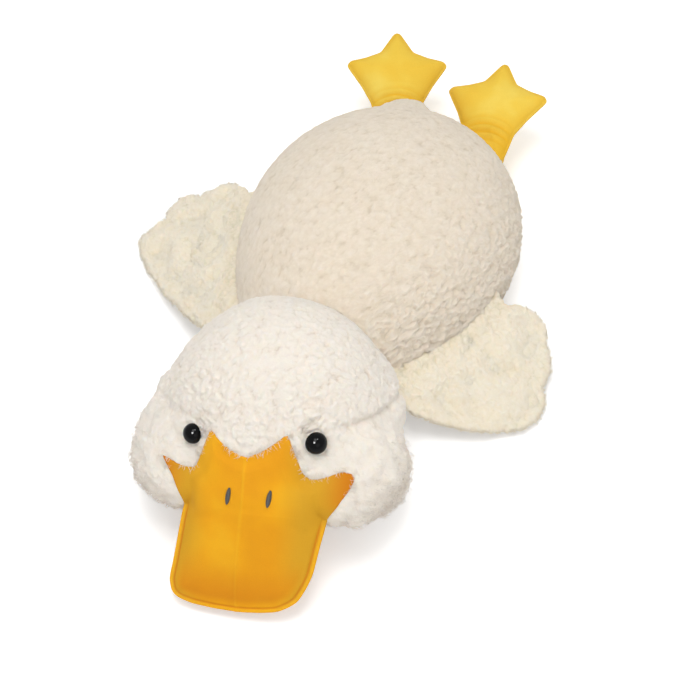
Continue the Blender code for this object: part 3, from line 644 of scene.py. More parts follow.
def cup_round_head(points):
    """Points inside the ball that the head turns in are pressed back onto it, and stay above the floor."""
    away = points - HEAD_CENTRE
    distance = np.linalg.norm(away, axis=1)
    kept = (distance + POCKET_RADIUS + np.sqrt((distance - POCKET_RADIUS) ** 2 + POCKET_ROUNDING ** 2)) / 2
    points = HEAD_CENTRE + away * (kept / distance)[:, None]
    sunk = points[:, 2] < FLOOR_CLEARANCE
    reach = math.sqrt(POCKET_RADIUS ** 2 - (HEAD_CENTRE[2] - FLOOR_CLEARANCE) ** 2)
    flat = points[sunk][:, :2] - HEAD_CENTRE[:2]
    longer = np.maximum(reach / np.linalg.norm(flat, axis=1), 1.0)
    points[sunk, :2] = HEAD_CENTRE[:2] + flat * longer[:, None]
    points[sunk, 2] = FLOOR_CLEARANCE
    return points


def make_body():
    directions, faces = ball(BODY_CELLS)
    points = set_on_floor(body_points(directions))
    lower = smooth(0.75 - directions[:, 2] + 0.55 * directions[:, 0] - 0.25 * directions[:, 1], 0.0, 1.3)
    points, height = grow_pile(points, faces, BODY_PILE, 1.0, 0.30 + 0.70 * lower)
    seam = bell(points[:, 2] - BODY_SEAM_HEIGHT, BODY_SEAM_WIDTH)
    points -= normals_of(points, faces) * (BODY_SEAM_DEPTH * seam)[:, None]
    points = cup_round_head(points)
    piece = add_piece("body_fleece", points, faces, BODY_FLEECE)
    # The pile value sets painted shade between the curls, and lowering it along the side seam paints shade in
    # the seam's groove.
    add_attributes(piece, pile=(0.5 + (height - 0.5) * 1.15) * (1.0 - 0.3 * seam))
    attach(piece, "body")
    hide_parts("back_panel", "belly_panel", "breast_panel", "body_filling")


def make_neck():
    """The ring of cloth that fills the gap between the back of the head and the breast."""
    inner, outer = (math.radians(angle) for angle in SLEEVE_ANGLES)
    around = math.tau * np.arange(SLEEVE_STEPS) / SLEEVE_STEPS
    shares = np.arange(SLEEVE_RINGS) / (SLEEVE_RINGS - 1)
    outside = [(SLEEVE_RADIUS + SLEEVE_THICKNESS, share) for share in shares]
    inside = [(SLEEVE_RADIUS, share) for share in shares[::-1]]
    rings = []
    for radius, share in outside + inside + outside[:1]:
        angle = inner + (outer - inner) * share
        reach = radius + SLEEVE_RIPPLE * np.sin(24 * around) * math.sin(math.pi * share)
        flat = reach * math.sin(angle)
        rings.append(np.column_stack((flat * np.cos(around), reach * math.cos(angle), flat * np.sin(around))))
    count = 2 * SLEEVE_RINGS * SLEEVE_STEPS
    faces = [tuple(corner % count for corner in face) for face in grid_faces(len(rings), SLEEVE_STEPS)]
    turn = Matrix.Translation(HEAD_CENTRE) @ Matrix.Rotation(math.radians(SLEEVE_TURN), 4, "Z")
    points = moved(turn, np.concatenate(rings[:-1]))
    piece = add_piece("neck_sleeve", points, faces, BODY_FLEECE)
    # Painted shade: the sleeve's pile value is kept low, so it is darker all over.
    add_attributes(piece, pile=curls(points, SLEEVE_PILE_SIZE, 1.0) * 0.6)
    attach(piece, "neck")
    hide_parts("neck_band")


# The head

def head_matrix():
    nod = JOINTS["head_nod"]["axis"]
    turn = Matrix.Rotation(math.atan2(-nod[1], -nod[0]), 4, "Z")
    roll = Matrix.Rotation(-math.radians(HEAD_ROLL), 4, "Y")
    return Matrix.Translation(HEAD_CENTRE) @ turn @ roll


HEAD = head_matrix()


def head_reach(directions):
    cheek = unit(CHEEK_DIRECTION_SHARES)
    other_cheek = cheek * (-1.0, 1.0, 1.0)
    chin = unit(CHIN_DIRECTION_SHARES)
    swell = kernel(directions @ cheek, CHEEK_EDGE_SHARE) + kernel(directions @ other_cheek, CHEEK_EDGE_SHARE)
    return HEAD_RADIUS + CHEEK_SWELL * swell - CHIN_TUCK * kernel(directions @ chin, CHIN_EDGE_SHARE)


def head_points(directions):
    """The head's surface in its own frame."""
    return directions * head_reach(directions)[:, None]


def direction_at(azimuth, elevation):
    """A direction by degrees towards +X from straight ahead, and up. For the head +X is the duck's left."""
    azimuth, elevation = math.radians(azimuth), math.radians(elevation)
    return np.array((
        math.sin(azimuth) * math.cos(elevation),
        -math.cos(azimuth) * math.cos(elevation),
        math.sin(elevation),
    ))


def face_normals(directions):
    """The way out of the head's surface at each direction."""
    across = unit(np.cross(directions, (0.0, 0.0, 1.0)))
    step = 0.02
    slopes = []
    for tangent in (across, np.cross(across, directions)):
        ahead, behind = (head_points(unit(directions + tangent * way)) for way in (step, -step))
        slopes.append(ahead - behind)
    normals = np.cross(slopes[0], slopes[1])
    return unit(normals) * np.sign(np.sum(normals * directions, axis=1))[:, None]


def crown_weight(points):
    """1 on the curly crown and 0 on the smoother face, and how far each point is from the seam."""
    tilt = math.radians(CROWN_SEAM_TILT)
    above = points[:, 1] * math.sin(tilt) + points[:, 2] * math.cos(tilt) - HEAD_RADIUS * CROWN_SEAM_SHARE
    return smooth(above + 0.006 * noise_at(points, 0.020, 8.0), -0.016, 0.014), above


def head_relief(directions, points):
    """Sockets, the crown's seam and soft folds, as a height off the plain form."""
    relief = np.zeros(len(points))
    for side_name, side in SIDES:
        for rise, radius, depth in SOCKETS:
            socket = direction_at(EYE_AZIMUTH * side, EYE_ELEVATIONS[side_name] + rise)
            place = socket * head_reach(socket[None])[0]
            relief -= depth * bell(np.linalg.norm(points - place, axis=1), radius)
        for azimuth, elevation, width, height in TEMPLES[side_name]:
            temple = direction_at(azimuth * side, elevation)
            relief += height * kernel(directions @ temple, math.cos(math.radians(width)))
    _, above = crown_weight(points)
    on_left = directions[:, 0] > 0.0
    azimuth = np.degrees(np.arctan2(np.abs(directions[:, 0]), -directions[:, 1]))
    aside = smooth(azimuth, 42.0, 62.0) * (1.0 - smooth(azimuth, 110.0, 150.0))
    aside *= np.where(on_left, 1.0, 1.0 - smooth(azimuth, 66.0, 80.0))
    depth = np.where(on_left, SEAM_DEPTHS["left"], SEAM_DEPTHS["right"])
    relief -= depth * aside * bell(above, SEAM_WIDTH)
    relief += SEAM_OVERHANG * aside * bell(above - SEAM_OVERHANG_RISE, SEAM_OVERHANG_WIDTH)
    return relief


def make_head():
    directions, faces = ball(HEAD_CELLS)
    plain = head_points(directions)
    crown, _ = crown_weight(plain)
    relief = head_relief(directions, plain)
    large, small = CHEEK_LUMP_SIZES
    lumps = 0.8 * noise_at(plain, large, 4.0) + noise_at(plain, small, 5.0)
    relief += CHEEK_LUMPS * lumps * (1.0 - crown)
    depth_in = mask_depth(plain)
    beside_mask = bell(np.maximum(-depth_in, 0.0), MASK_CUSHION_WIDTH)
    relief = relief * (1.0 - 0.8 * beside_mask) + MASK_CUSHION * beside_mask
    covered = smooth(depth_in, -0.0005, 0.0025)
    points = set_on_floor(moved(HEAD, plain + face_normals(directions) * relief[:, None]))
    back = np.degrees(np.arccos(np.clip(turned(HEAD, directions)[:, 1], -1.0, 1.0)))
    free = smooth(back, 38.0, 52.0)
    lower = smooth(-directions[:, 1] - directions[:, 2], -0.8, 0.6)
    low_cheek = smooth(np.abs(directions[:, 0]), 0.40, 0.75) * smooth(-directions[:, 2], -0.15, 0.25)
    curly = np.maximum(0.50 + 0.50 * crown * (0.30 + 0.70 * lower), 0.80 * low_cheek)
    share = curly * (1.0 - covered) * (0.22 + 0.78 * free)
    points, height = grow_pile(points, faces, HEAD_PILE, 2.0, share)
    points -= normals_of(points, faces) * (0.0006 * covered)[:, None]
    piece = add_piece("head_fleece", points, faces, HEAD_FLEECE)
    # Painted shade: the pile value is lowered on the lower cheeks and in the eye sockets.
    socket_shade = np.clip(-relief / SOCKET_DEPTH, 0.0, 1.0)
    pile = 0.5 + (height - 0.5) * (0.9 + 0.25 * crown) + 0.08 * (1.0 - crown)
    pile -= 0.16 * low_cheek + 0.12 * socket_shade
    add_attributes(piece, pile=np.clip(pile, 0.0, 1.0))
    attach(piece, "head")
    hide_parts("head_crown_panel", "head_face_panel", "head_filling")
    add_head_locks(points, normals_of(points, faces), depth_in, plain, directions)


def add_head_locks(points, normals, depth_in, plain, directions):
    """Silky wisps on the lower cheeks, and a fringe over the bill's upper edge."""
    low_cheek = (depth_in < -0.006) * (points[:, 2] > 0.010) * smooth(-directions[:, 1], 0.0, 0.3)
    low_cheek *= smooth(np.abs(directions[:, 0]), 0.45, 0.80) * smooth(-directions[:, 2], -0.35, 0.10)
    picked = some(CHEEK_LOCKS, low_cheek, 21)
    place = moved(BILL_MATRIX, np.array([(0.0, 0.030, 0.0)]))[0]
    flows = unit(points[picked] - place) + np.array((0.0, 0.0, -0.2)) + 0.7 * random_flows(len(picked), 22)
    cheek_locks = add_locks(
        "cheek_locks", points[picked], normals[picked], flows, CHEEK_STRAND, 23, HEAD_STRANDS
    )
    bill_place = moved(BILL_TO_HEAD.inverted(), plain)
    clumps = smooth(noise_at(plain, 0.005, 5.0), -0.25, 0.35)
    at_edge = (depth_in < -0.0002) * (depth_in > -0.0050) * (bill_place[:, 1] > 0.024) * clumps
    picked = some(EDGE_LOCKS, at_edge, 24)
    flat = bill_place[picked][:, :2]
    toward = nearest_on(flat, BILL_LINE)[0] - flat
    flows = turned(BILL_MATRIX, np.column_stack((unit(toward), np.zeros(len(picked)))))
    flows += 0.75 * random_flows(len(picked), 25)
    roots = points[picked] + normals[picked] * 0.0004
    edge_locks = add_locks(
        "edge_locks", roots, normals[picked], flows, EDGE_STRAND, 26, HEAD_STRANDS
    )
    for piece in (cheek_locks, edge_locks):
        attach(piece, "head")


# Eyes

def eye_matrix(side_name, side):
    direction = direction_at(EYE_AZIMUTH * side, EYE_ELEVATIONS[side_name])[None]
    outward = Vector(face_normals(direction)[0])
    seat = Vector(head_points(direction)[0]) + outward * EYE_SEAT_GAP
    return HEAD @ Matrix.Translation(seat) @ outward.to_track_quat("Z", "Y").to_matrix().to_4x4()


def turned_piece(profile, steps):
    """A closed solid turned from (radius, height) points that start and end on the axis."""
    angles = math.tau * np.arange(steps) / steps
    points = [np.array([(0.0, 0.0, profile[0][1])])]
    for radius, height in profile[1:-1]:
        ring = (radius * np.cos(angles), radius * np.sin(angles), np.full(steps, height))
        points.append(np.column_stack(ring))
    points.append(np.array([(0.0, 0.0, profile[-1][1])]))
    return np.concatenate(points), pillow_faces(steps, len(profile) - 2)


def make_eyes():
    profile = [(0.0, EYE_DOME_HEIGHT)]
    for i in range(1, 17):
        angle = math.radians(90.0) * i / 16
        profile.append((EYE_RADIUS * math.sin(angle), EYE_DOME_HEIGHT * math.cos(angle)))
    profile += [(EYE_RADIUS * share, height) for share, height in EYE_UNDER_RIM]
    profile += [(EYE_SHANK_RADIUS, height) for height in (EYE_BACK_HEIGHT, -EYE_SHANK_LENGTH)]
    profile.append((0.0, -EYE_SHANK_LENGTH))
    for side_name, side in SIDES:
        points, faces = turned_piece(profile, EYE_STEPS)
        points = moved(eye_matrix(side_name, side), points * EYE_SCALES[side_name])
        piece = add_piece("eye_dome_" + side_name, points, faces, EYE_PLASTIC)
        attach(piece, "head")
        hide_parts("eye_" + side_name)
        washer = frame["nodes"]["eye_washer_" + side_name]
        washer.data.materials.clear()
        washer.data.materials.append(WASHER_PLASTIC)


# Flat outlines

def even_line(points, count, closed=True):
    """A line through the points as count points at even steps."""
    points = np.array(points, float)
    ends = np.roll(points, -1, axis=0)
    if not closed:
        points, ends = points[:-1], ends[:-1]
    lengths = np.linalg.norm(ends - points, axis=1)
    starts = np.concatenate(([0.0], np.cumsum(lengths)))
    steps = count if closed else count - 1
    made = np.empty((count, 2))
    for i in range(count):
        along = starts[-1] * i / steps
        k = min(int(np.searchsorted(starts, along, side="right")) - 1, len(points) - 1)
        made[i] = points[k] + (ends[k] - points[k]) * (along - starts[k]) / lengths[k]
    return made


def rounded(line, passes, closed=True):
    for _ in range(passes):
        before, after = np.roll(line, 1, axis=0), np.roll(line, -1, axis=0)
        eased = (before + 2.0 * line + after) / 4.0
        if not closed:
            eased[0], eased[-1] = line[0], line[-1]
        line = eased
    return line


def nearest_on(points, line, closed=True):
    """The place on a line that is nearest to each flat point, and the distance to it."""
    starts = line if closed else line[:-1]
    ends = np.roll(line, -1, axis=0) if closed else line[1:]
    best = np.full(len(points), np.inf)
    places = np.array(points, float)
    for start, end in zip(starts, ends):
        chord = end - start
        along = np.clip(((points - start) @ chord) / max(chord @ chord, 1e-12), 0.0, 1.0)
        place = start + along[:, None] * chord
        gap = np.linalg.norm(points - place, axis=1)
        closer = gap < best
        places[closer] = place[closer]
        best[closer] = gap[closer]
    return places, best


def distance_to(points, line, closed=True):
    return nearest_on(points, line, closed)[1]


def is_inside(points, line):
    inside = np.zeros(len(points), bool)
    for (x0, y0), (x1, y1) in zip(line, np.roll(line, -1, axis=0)):
        crosses = (y0 > points[:, 1]) != (y1 > points[:, 1])
        if y0 != y1:
            at = x0 + (points[:, 1] - y0) * (x1 - x0) / (y1 - y0)
            inside ^= crosses & (points[:, 0] < at)
    return inside


def pillow(line, middle, shares, lower_rings):
    """A pillow's upper points on rings out to its line, the lower ones back to the middle, and its faces."""
    middle = np.array(middle)
    lower_shares = ease_out(lower_rings)[-2::-1]
    upper = [middle[None]] + [middle + (line - middle) * share for share in shares]
    lower = [middle + (line - middle) * share for share in lower_shares] + [middle[None]]
    faces = pillow_faces(len(line), len(shares) + len(lower_shares))
    return np.concatenate(upper), np.concatenate(lower), faces


def flat_net(line, middle, step):
    """An even net of triangles inside an outline, whose first points are the outline's own."""
    rims = [middle + (line - middle) * share for share in (0.995, 0.985, 0.970)]
    low, high = line.min(axis=0), line.max(axis=0)
    rows = []
    for j, y in enumerate(np.arange(low[1], high[1], step * math.sin(math.radians(60.0)))):
        across = np.arange(low[0] + step * 0.5 * (j % 2), high[0], step)
        rows.append(np.column_stack((across, np.full(len(across), y))))
    grid = np.concatenate(rows)
    grid = grid[is_inside(grid, line) & (distance_to(grid, line) > 2.4 * step)]
    points = [Vector(point) for point in np.concatenate((line, *rims, grid))]
    made = geometry.delaunay_2d_cdt(points, [], [list(range(len(line)))], 1, 1e-7)
    return np.array([tuple(point) for point in made[0]]), [tuple(face) for face in made[2]]


def ease_out(count):
    """Shares from the middle to the edge, closer together towards the edge."""
    return [math.sin(math.radians(90.0) * i / count) for i in range(1, count + 1)]


# The bill, over its own plane: a height for each place (across, up), in the bill's frame

BILL_MATRIX = (
    HEAD
    @ Matrix.Translation((0.0, HEAD_RADIUS * BILL_SEAT_SHARES[0], HEAD_RADIUS * BILL_SEAT_SHARES[1]))
    @ Matrix.Rotation(math.radians(BILL_DROOP), 4, "X")
    @ Matrix.Rotation(-math.radians(BILL_SKEW), 4, "Z")
)
BILL_TO_HEAD = HEAD.inverted() @ BILL_MATRIX
FLAP_LINE = rounded(even_line(FLAP_POINTS, BILL_POINTS, closed=False), 6, closed=False)
MASK_LINE = rounded(even_line(MASK_POINTS, BILL_POINTS, closed=False), 1, closed=False)
BILL_LINE = rounded(even_line(np.concatenate((FLAP_LINE, MASK_LINE)), 2 * BILL_POINTS), 2)
BILL_MIDDLE = (0.0, -0.022)
BILL_UNDER_MIDDLE = (0.0, -0.024)
BILL_UNDER_ROOT = np.array(BILL_UNDER_ROOT_SHARES) * (BILL_HALF_WIDTH, 1.0)


def skin_height(flat):
    """How high the head's surface stands over each place of the bill's plane."""
    height = np.full(len(flat), 0.02)
    into = np.array(BILL_TO_HEAD.to_3x3()).T
    for _ in range(24):
        place = moved(BILL_TO_HEAD, np.column_stack((flat, height)))
        length = np.linalg.norm(place, axis=1)
        toward = np.maximum((place @ into[2]) / length, 0.35)
        height += 0.8 * (head_reach(place / length[:, None]) - length) / toward
        height = np.clip(height, -0.06, 0.06)
    return height


def flap_puff(flat):
    """How full the flap is, from 0 on the sewn flange to 1 in the middle, and how far in a place lies."""
    sides = np.array([(FLAP_LINE[0][0], 0.10), *FLAP_LINE, (FLAP_LINE[-1][0], 0.10)])
    inset = distance_to(flat, sides, closed=False)
    inset = np.where(is_inside(flat, sides), inset, -inset) - BILL_FLANGE_WIDTH
    return bulge(inset, BILL_HALF_WIDTH - BILL_FLANGE_WIDTH, BILL_PUFF_POWER), inset


def flap_swell(flat, root, tip):
    share = np.clip(-flat[:, 1] / BILL_LENGTH, 0.0, 1.0)
    return tip + (root - tip) * (1.0 - share) ** BILL_THINNING


def seam_offset(flat):
    """How far a place lies from the sewn middle seam."""
    ups, acrosses = np.array(BILL_SEAM_POINTS).T[::-1]
    return flat[:, 0] - np.interp(flat[:, 1], ups, acrosses)


def bill_top_height(flat, cloth=1.0, run_in=1.0):
    """The top cloth's height: the stuffed flap and the face behind it, run together."""
    puff, inset = flap_puff(flat)
    rise = flap_swell(flat, BILL_TOP_RISE, BILL_TIP_RISE) - BILL_CLOTH_THICKNESS
    flap = BILL_CLOTH_THICKNESS * cloth + rise * puff + np.minimum(inset + BILL_FLANGE_WIDTH, 0.0)
    flap -= 0.030 * smooth(flat[:, 1], 0.010, 0.075)
    face = skin_height(flat) + MASK_HEIGHT * cloth
    blend = BILL_ROOT_BLEND * smooth(puff, 0.05, 0.5) * run_in
    return (flap + face) / 2 + np.sqrt(((flap - face) / 2) ** 2 + blend ** 2)


def on_bill(flat, height):
    return moved(BILL_MATRIX, np.column_stack((flat, height)))


def mask_depth(points):
    """How deep the head's own points lie inside the bill's outline, seen along the bill's height."""
    place = moved(BILL_TO_HEAD.inverted(), points)
    near = (place[:, 2] > -0.03) & (np.abs(place[:, 0]) < 0.11) & (place[:, 1] > -0.12) & (place[:, 1] < 0.10)
    flat = place[near][:, :2]
    line = BILL_LINE[::3]
    gap = distance_to(flat, line)
    depth = np.full(len(points), -1.0)
    depth[near] = np.where(is_inside(flat, line), gap, -gap)
    return depth


def make_bill_top():
    upper, inner, faces = pillow(BILL_LINE, BILL_MIDDLE, ease_out(BILL_RINGS) + [1.0], BILL_INNER_RINGS)
    edge_inset = distance_to(upper, BILL_LINE)
    level = np.column_stack((upper, np.zeros(len(upper))))
    wrinkle = BILL_WRINKLE_HEIGHT * noise_at(level, BILL_WRINKLE_SIZE, 3.0)
    ridge = bell(seam_offset(upper), SEAM_RIDGE_WIDTH)
    on_flap = 1.0 - smooth(upper[:, 1], -0.014, 0.0)
    groove = bell(flap_puff(upper)[1], EDGE_SEAM_WIDTH) * on_flap
    run_in = smooth(edge_inset, 0.0, 0.014)
    height = bill_top_height(upper, 0.2 + 0.8 * bulge(edge_inset, BILL_RIM_WIDTH), run_in)
    height += wrinkle * smooth(edge_inset, 0.004, 0.016)
    height += SEAM_RIDGE_HEIGHT * ridge - EDGE_SEAM_DEPTH * groove
    bottom = on_bill(inner, np.maximum(skin_height(inner) - 0.002, 0.0002))
    points = np.concatenate((on_bill(upper, height), bottom))
    piece = add_piece("bill_top_cloth", points, faces, BILL_CLOTH)
    # Painted shade: darker at the mask's tips, on the flap's lower part, in the edge seam's groove and on the
    # sides. The edge layer is lighter on the middle ridge and the flange rim.
    rim = smooth(BILL_FLANGE_WIDTH - edge_inset, 0.0, 0.0030) * on_flap
    tips = smooth(np.abs(upper[:, 0]), 0.056, 0.086) * smooth(upper[:, 1], 0.0, 0.02)
    low = smooth(-upper[:, 1], 0.035, 0.085) * smooth(edge_inset, 0.004, 0.014)
    add_attributes(
        piece,
        edge=np.maximum(0.9 * ridge, 0.8 * rim),
        fold=np.clip(tips + 0.65 * low + 0.8 * groove, 0.0, 1.0),
        aside=smooth(np.abs(upper[:, 0] + 0.006), 0.026, 0.056) * (1.0 - 0.8 * low),
    )
    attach(piece, "head")
    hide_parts("bill_top_left", "bill_top_right", "bill_filling")


def make_bill_under():
    line = rounded(even_line(np.concatenate((FLAP_LINE, BILL_UNDER_ROOT)), BILL_UNDER_POINTS), 2)
    shares = ease_out(BILL_UNDER_RINGS) + [1.0]
    under, inner, faces = pillow(line, BILL_UNDER_MIDDLE, shares, BILL_UNDER_INNER_RINGS)
    drop = flap_swell(under, BILL_UNDER_DROP, BILL_TIP_RISE) - BILL_CLOTH_THICKNESS
    height = -(BILL_CLOTH_THICKNESS + drop * flap_puff(under)[0])
    height *= 0.25 + 0.75 * bulge(distance_to(under, line), BILL_RIM_WIDTH)
    points = np.concatenate((on_bill(under, height), on_bill(inner, np.full(len(inner), -0.0002))))
    piece = add_piece("bill_under_cloth", points, faces, BILL_CLOTH)
    # Painted shade over the whole underside.
    add_attributes(piece, fold=np.full(len(points), 0.25))
    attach(piece, "head")
    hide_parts("bill_under_panel")


def tube(path, normal, radius, sides=6):
    """The points of a round thread along a path, drawn in at both ends."""
    ahead = unit(np.gradient(path, axis=0))
    up = unit(normal - ahead * (ahead @ normal)[:, None])
    across = np.cross(ahead, up)
    points = []
    for i in range(len(path)):
        thin = math.sqrt(max(1.0 - (2.0 * i / (len(path) - 1) - 1.0) ** 6, 0.08))
        for j in range(sides):
            angle = math.tau * j / sides
            around = math.cos(angle) * across[i] + math.sin(angle) * up[i]
            points.append(path[i] + radius * thin * around)
    return points, tube_faces(len(path), sides)


def make_nostrils():
    """Satin stitched ovals: threads laid side by side across each one."""
    normal = turned(BILL_MATRIX, np.array([(0.0, 0.0, 1.0)]))[0]
    splay = math.radians(NOSTRIL_SPLAY)
    along = np.array((-math.sin(splay), math.cos(splay)))
    across = np.array((math.cos(splay), math.sin(splay)))
    steps = np.linspace(-1.0, 1.0, NOSTRIL_THREAD_POINTS)
    radius = NOSTRIL_HALF_LENGTH / NOSTRIL_THREADS * 1.15
    for side_name, _ in SIDES:
        centre = np.array(NOSTRIL_PLACES[side_name])
        points, faces = [], []
        for i in range(NOSTRIL_THREADS):
            share = 2.0 * (i + 0.5) / NOSTRIL_THREADS - 1.0
            half = NOSTRIL_HALF_WIDTH * math.sqrt(1.0 - share * share)
            flat = centre + along * NOSTRIL_HALF_LENGTH * share + np.outer(half * steps, across)
            path = on_bill(flat, bill_top_height(flat) + 0.0003 + NOSTRIL_CROWN * (1.0 - steps ** 2))
            thread, thread_faces = tube(path, normal, radius)
            faces += [tuple(len(points) + corner for corner in face) for face in thread_faces]
            points += thread
        points = np.array(points)
        piece = add_piece("nostril_stitches_" + side_name, points, faces, NOSTRIL_THREAD)
        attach(piece, "head")
        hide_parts("nostril_" + side_name)


# Wings

def body_half_width(y):
    t = min(max((y - BODY_CENTRE_Y) / BODY_HALF_LENGTH, -1.0), 1.0)
    return BODY_HALF_WIDTH * math.sqrt(1.0 - t * t) * (1.0 + BODY_SWELL_SHARE * t + BODY_TAPER_SHARE * t * t)


def hinge_frame(joint, side):
    """The hinge's place, the way along it towards the beak, and the way out from the body."""
    place = Vector(JOINTS[joint]["pos_m"])
    along = Vector(JOINTS[joint]["axis"]) * side
    outward = Vector((-along.y, along.x, 0.0)) * side
    return place, along, outward


def last_passing(test, low, high):
    """The largest value between low and high that passes the test, where low does."""
    if test(high):
        return high
    for _ in range(40):
        middle = (low + high) / 2
        low, high = (middle, high) if test(middle) else (low, middle)
    return low


def root_inset(place, along, outward, u):
    """How far the wing's root runs in from its hinge line to the body's side."""
    def is_outside(distance):
        point = place + along * u - outward * distance
        return abs(point.x) > body_half_width(point.y)

    return last_passing(is_outside, 0.0, WING_REACH / 2)


def wing_front(place, along, outward):
    def clears(front):
        corner = place + along * front - outward * root_inset(place, along, outward, front)
        return (corner - Vector(HEAD_CENTRE)).length > HEAD_RADIUS + WING_HEAD_GAP

    return last_passing(clears, 0.0, WING_FRONT)


def scalloped(points):
    """The points joined by arcs that bulge outwards, as a gathered edge does."""
    made = []
    for start, end in zip(points[:-1], points[1:]):
        start, end = np.array(start), np.array(end)
        chord = end - start
        normal = np.array((-chord[1], chord[0]))
        for share in np.arange(10) / 10:
            rise = WING_SCALLOP_SHARE * 4.0 * share * (1.0 - share)
            made.append(tuple(start + chord * share + normal * rise))
    return made + [points[-1]]


def wing_outline(side_name, place, along, outward):
    edge = list(WING_EDGES[side_name])
    front_end = wing_front(place, along, outward)
    root = []
    for i in range(13):
        u = front_end + (-WING_REAR_ROOT - front_end) * i / 12
        root.append((u, -root_inset(place, along, outward, u) - WING_ROOT_REACH))
    return scalloped(edge[:WING_SCALLOPS]) + edge[WING_SCALLOPS:] + root


def make_wing(side_name, side):
    """Two layers of short pile sewn together, drooping from the side seam to the floor."""
    place, along, outward = hinge_frame(f"wing_{side_name}_flap", side)
    line = rounded(even_line(wing_outline(side_name, place, along, outward), WING_POINTS), 2)
    middle = np.array((0.0, WING_REACH * 0.42))
    net, triangles = flat_net(line, middle, WING_STEP)
    count, rim = len(net), len(line)
    flat = np.concatenate((net, net[rim:]))
    below = [tuple(i if i < rim else i + count - rim for i in reversed(face)) for face in triangles]
    top = np.arange(len(flat)) < count
    inset = distance_to(flat, line)
    round_edge = bulge(inset, WING_EDGE_ROUNDING)
    drop = BODY_SEAM_HEIGHT - WING_HALF_THICKNESS - WING_FLOOR_ROOM
    run = math.sqrt(WING_REACH ** 2 - drop ** 2)
    out = np.clip(flat[:, 1] / WING_REACH, -0.2, 1.0)
    fall = drop * (1.0 - np.clip(1.0 - out, 0.0, 1.2) ** WING_SAG_POWER)
    loose = smooth(out, 0.2, 0.6) * (1.0 - smooth(inset, 0.0, 0.030))
    ruffle = WING_RUFFLE * (1.0 + np.sin(flat[:, 0] * WING_RUFFLES_PER_METRE + 2.0 * side)) * loose
    along_array, outward_array = np.array(along), np.array(outward)
    points = np.outer(flat[:, 0], along_array) + np.outer(flat[:, 1] * run / WING_REACH, outward_array)
    points += np.array(place)
    points[:, 2] = BODY_SEAM_HEIGHT - fall + ruffle
    points[:, 2] += WING_HALF_THICKNESS * (np.where(top, 1.4, -0.6) * round_edge - 0.4)
    faces = facing_out(points, triangles + below)
    pile = curls(points, WING_PILE[0], 3.0)
    dimple = noise_at(points, WING_DIMPLE_SIZE, 9.0)
    rise = (pile - 0.5) * WING_PILE[1] + WING_DIMPLE_DEPTH * dimple * smooth(inset, 0.0, 0.012)
    points += normals_of(points, faces) * rise[:, None]
    points[:, 2] = np.maximum(points[:, 2], FLOOR_CLEARANCE)
    piece = add_piece("wing_cloth_" + side_name, points, faces, WING_FLEECE)
    # Painted shade: darker in the dimples' hollows and in the crease where the wing meets the body.
    crease_shade = bell(np.maximum(flat[:, 1], 0.0), 0.007)
    add_attributes(piece, pile=(0.52 + (pile - 0.5) * 1.1 + 0.12 * dimple) * (1.0 - 0.35 * crease_shade))
    outer = (inset < 0.002) * (flat[:, 1] > 0.012) * top
    picked = some(WING_LOCKS, outer, 31)
    flows = np.outer(flat[picked, 0], along_array) + np.outer(flat[picked, 1] - middle[1], outward_array)
    flows = unit(flows) + 0.6 * random_flows(len(picked), 32)
    normals = normals_of(points, faces)[picked]
    fringe = add_locks(
        "wing_fringe_" + side_name, points[picked], normals, flows, WING_STRAND, 33, WING_STRANDS
    )
    for cloth in (fringe, piece):
        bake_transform(cloth)
    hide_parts(f"wing_{side_name}_upper_panel", f"wing_{side_name}_lower_panel")


# Feet

def foot_outline(slant):
    seam_y = -LEG_LENGTH
    root = LEG_HALF_WIDTH * LEG_ROOT_SHARE
    seam = [(x, seam_y + x * math.tan(slant)) for x in (-root, 0.0, root)]
    toes = [(x * FOOT_RADIUS, y * FOOT_RADIUS) for x, y in TOE_SHARES]
    left_waist = (-LEG_HALF_WIDTH, (toes[0][1] + seam[0][1]) / 2)
    right_waist = (LEG_HALF_WIDTH, (toes[0][1] + seam[-1][1]) / 2)
    left_toes = [(-x, y) for x, y in reversed(toes)]
    return seam + [right_waist] + toes + [(0.0, FOOT_RADIUS)] + left_toes + [left_waist]


def foot_puff(flat, line, slant):
    """Full in the middle, pinched along the toes' edges, and open where the leg is sewn to the body."""
    inset = np.maximum(distance_to(flat, line) - FOOT_FLANGE_WIDTH, 0.0)
    seam_distance = flat[:, 1] + LEG_LENGTH - flat[:, 0] * math.tan(slant)
    sides = np.array([p for p in line if p[1] > -LEG_LENGTH * 0.75 + p[0] * math.tan(slant)])
    inset_sides = np.maximum(distance_to(flat, sides, closed=False) - FOOT_FLANGE_WIDTH, 0.0)
    near_root = 1.0 - smooth(seam_distance, 0.0, 0.022)
    inset = inset * (1.0 - 0.5 * near_root) + 0.5 * near_root * np.minimum(inset_sides, 0.02)
    return bulge(inset, FOOT_PUFF_WIDTH, FOOT_PUFF_POWER)


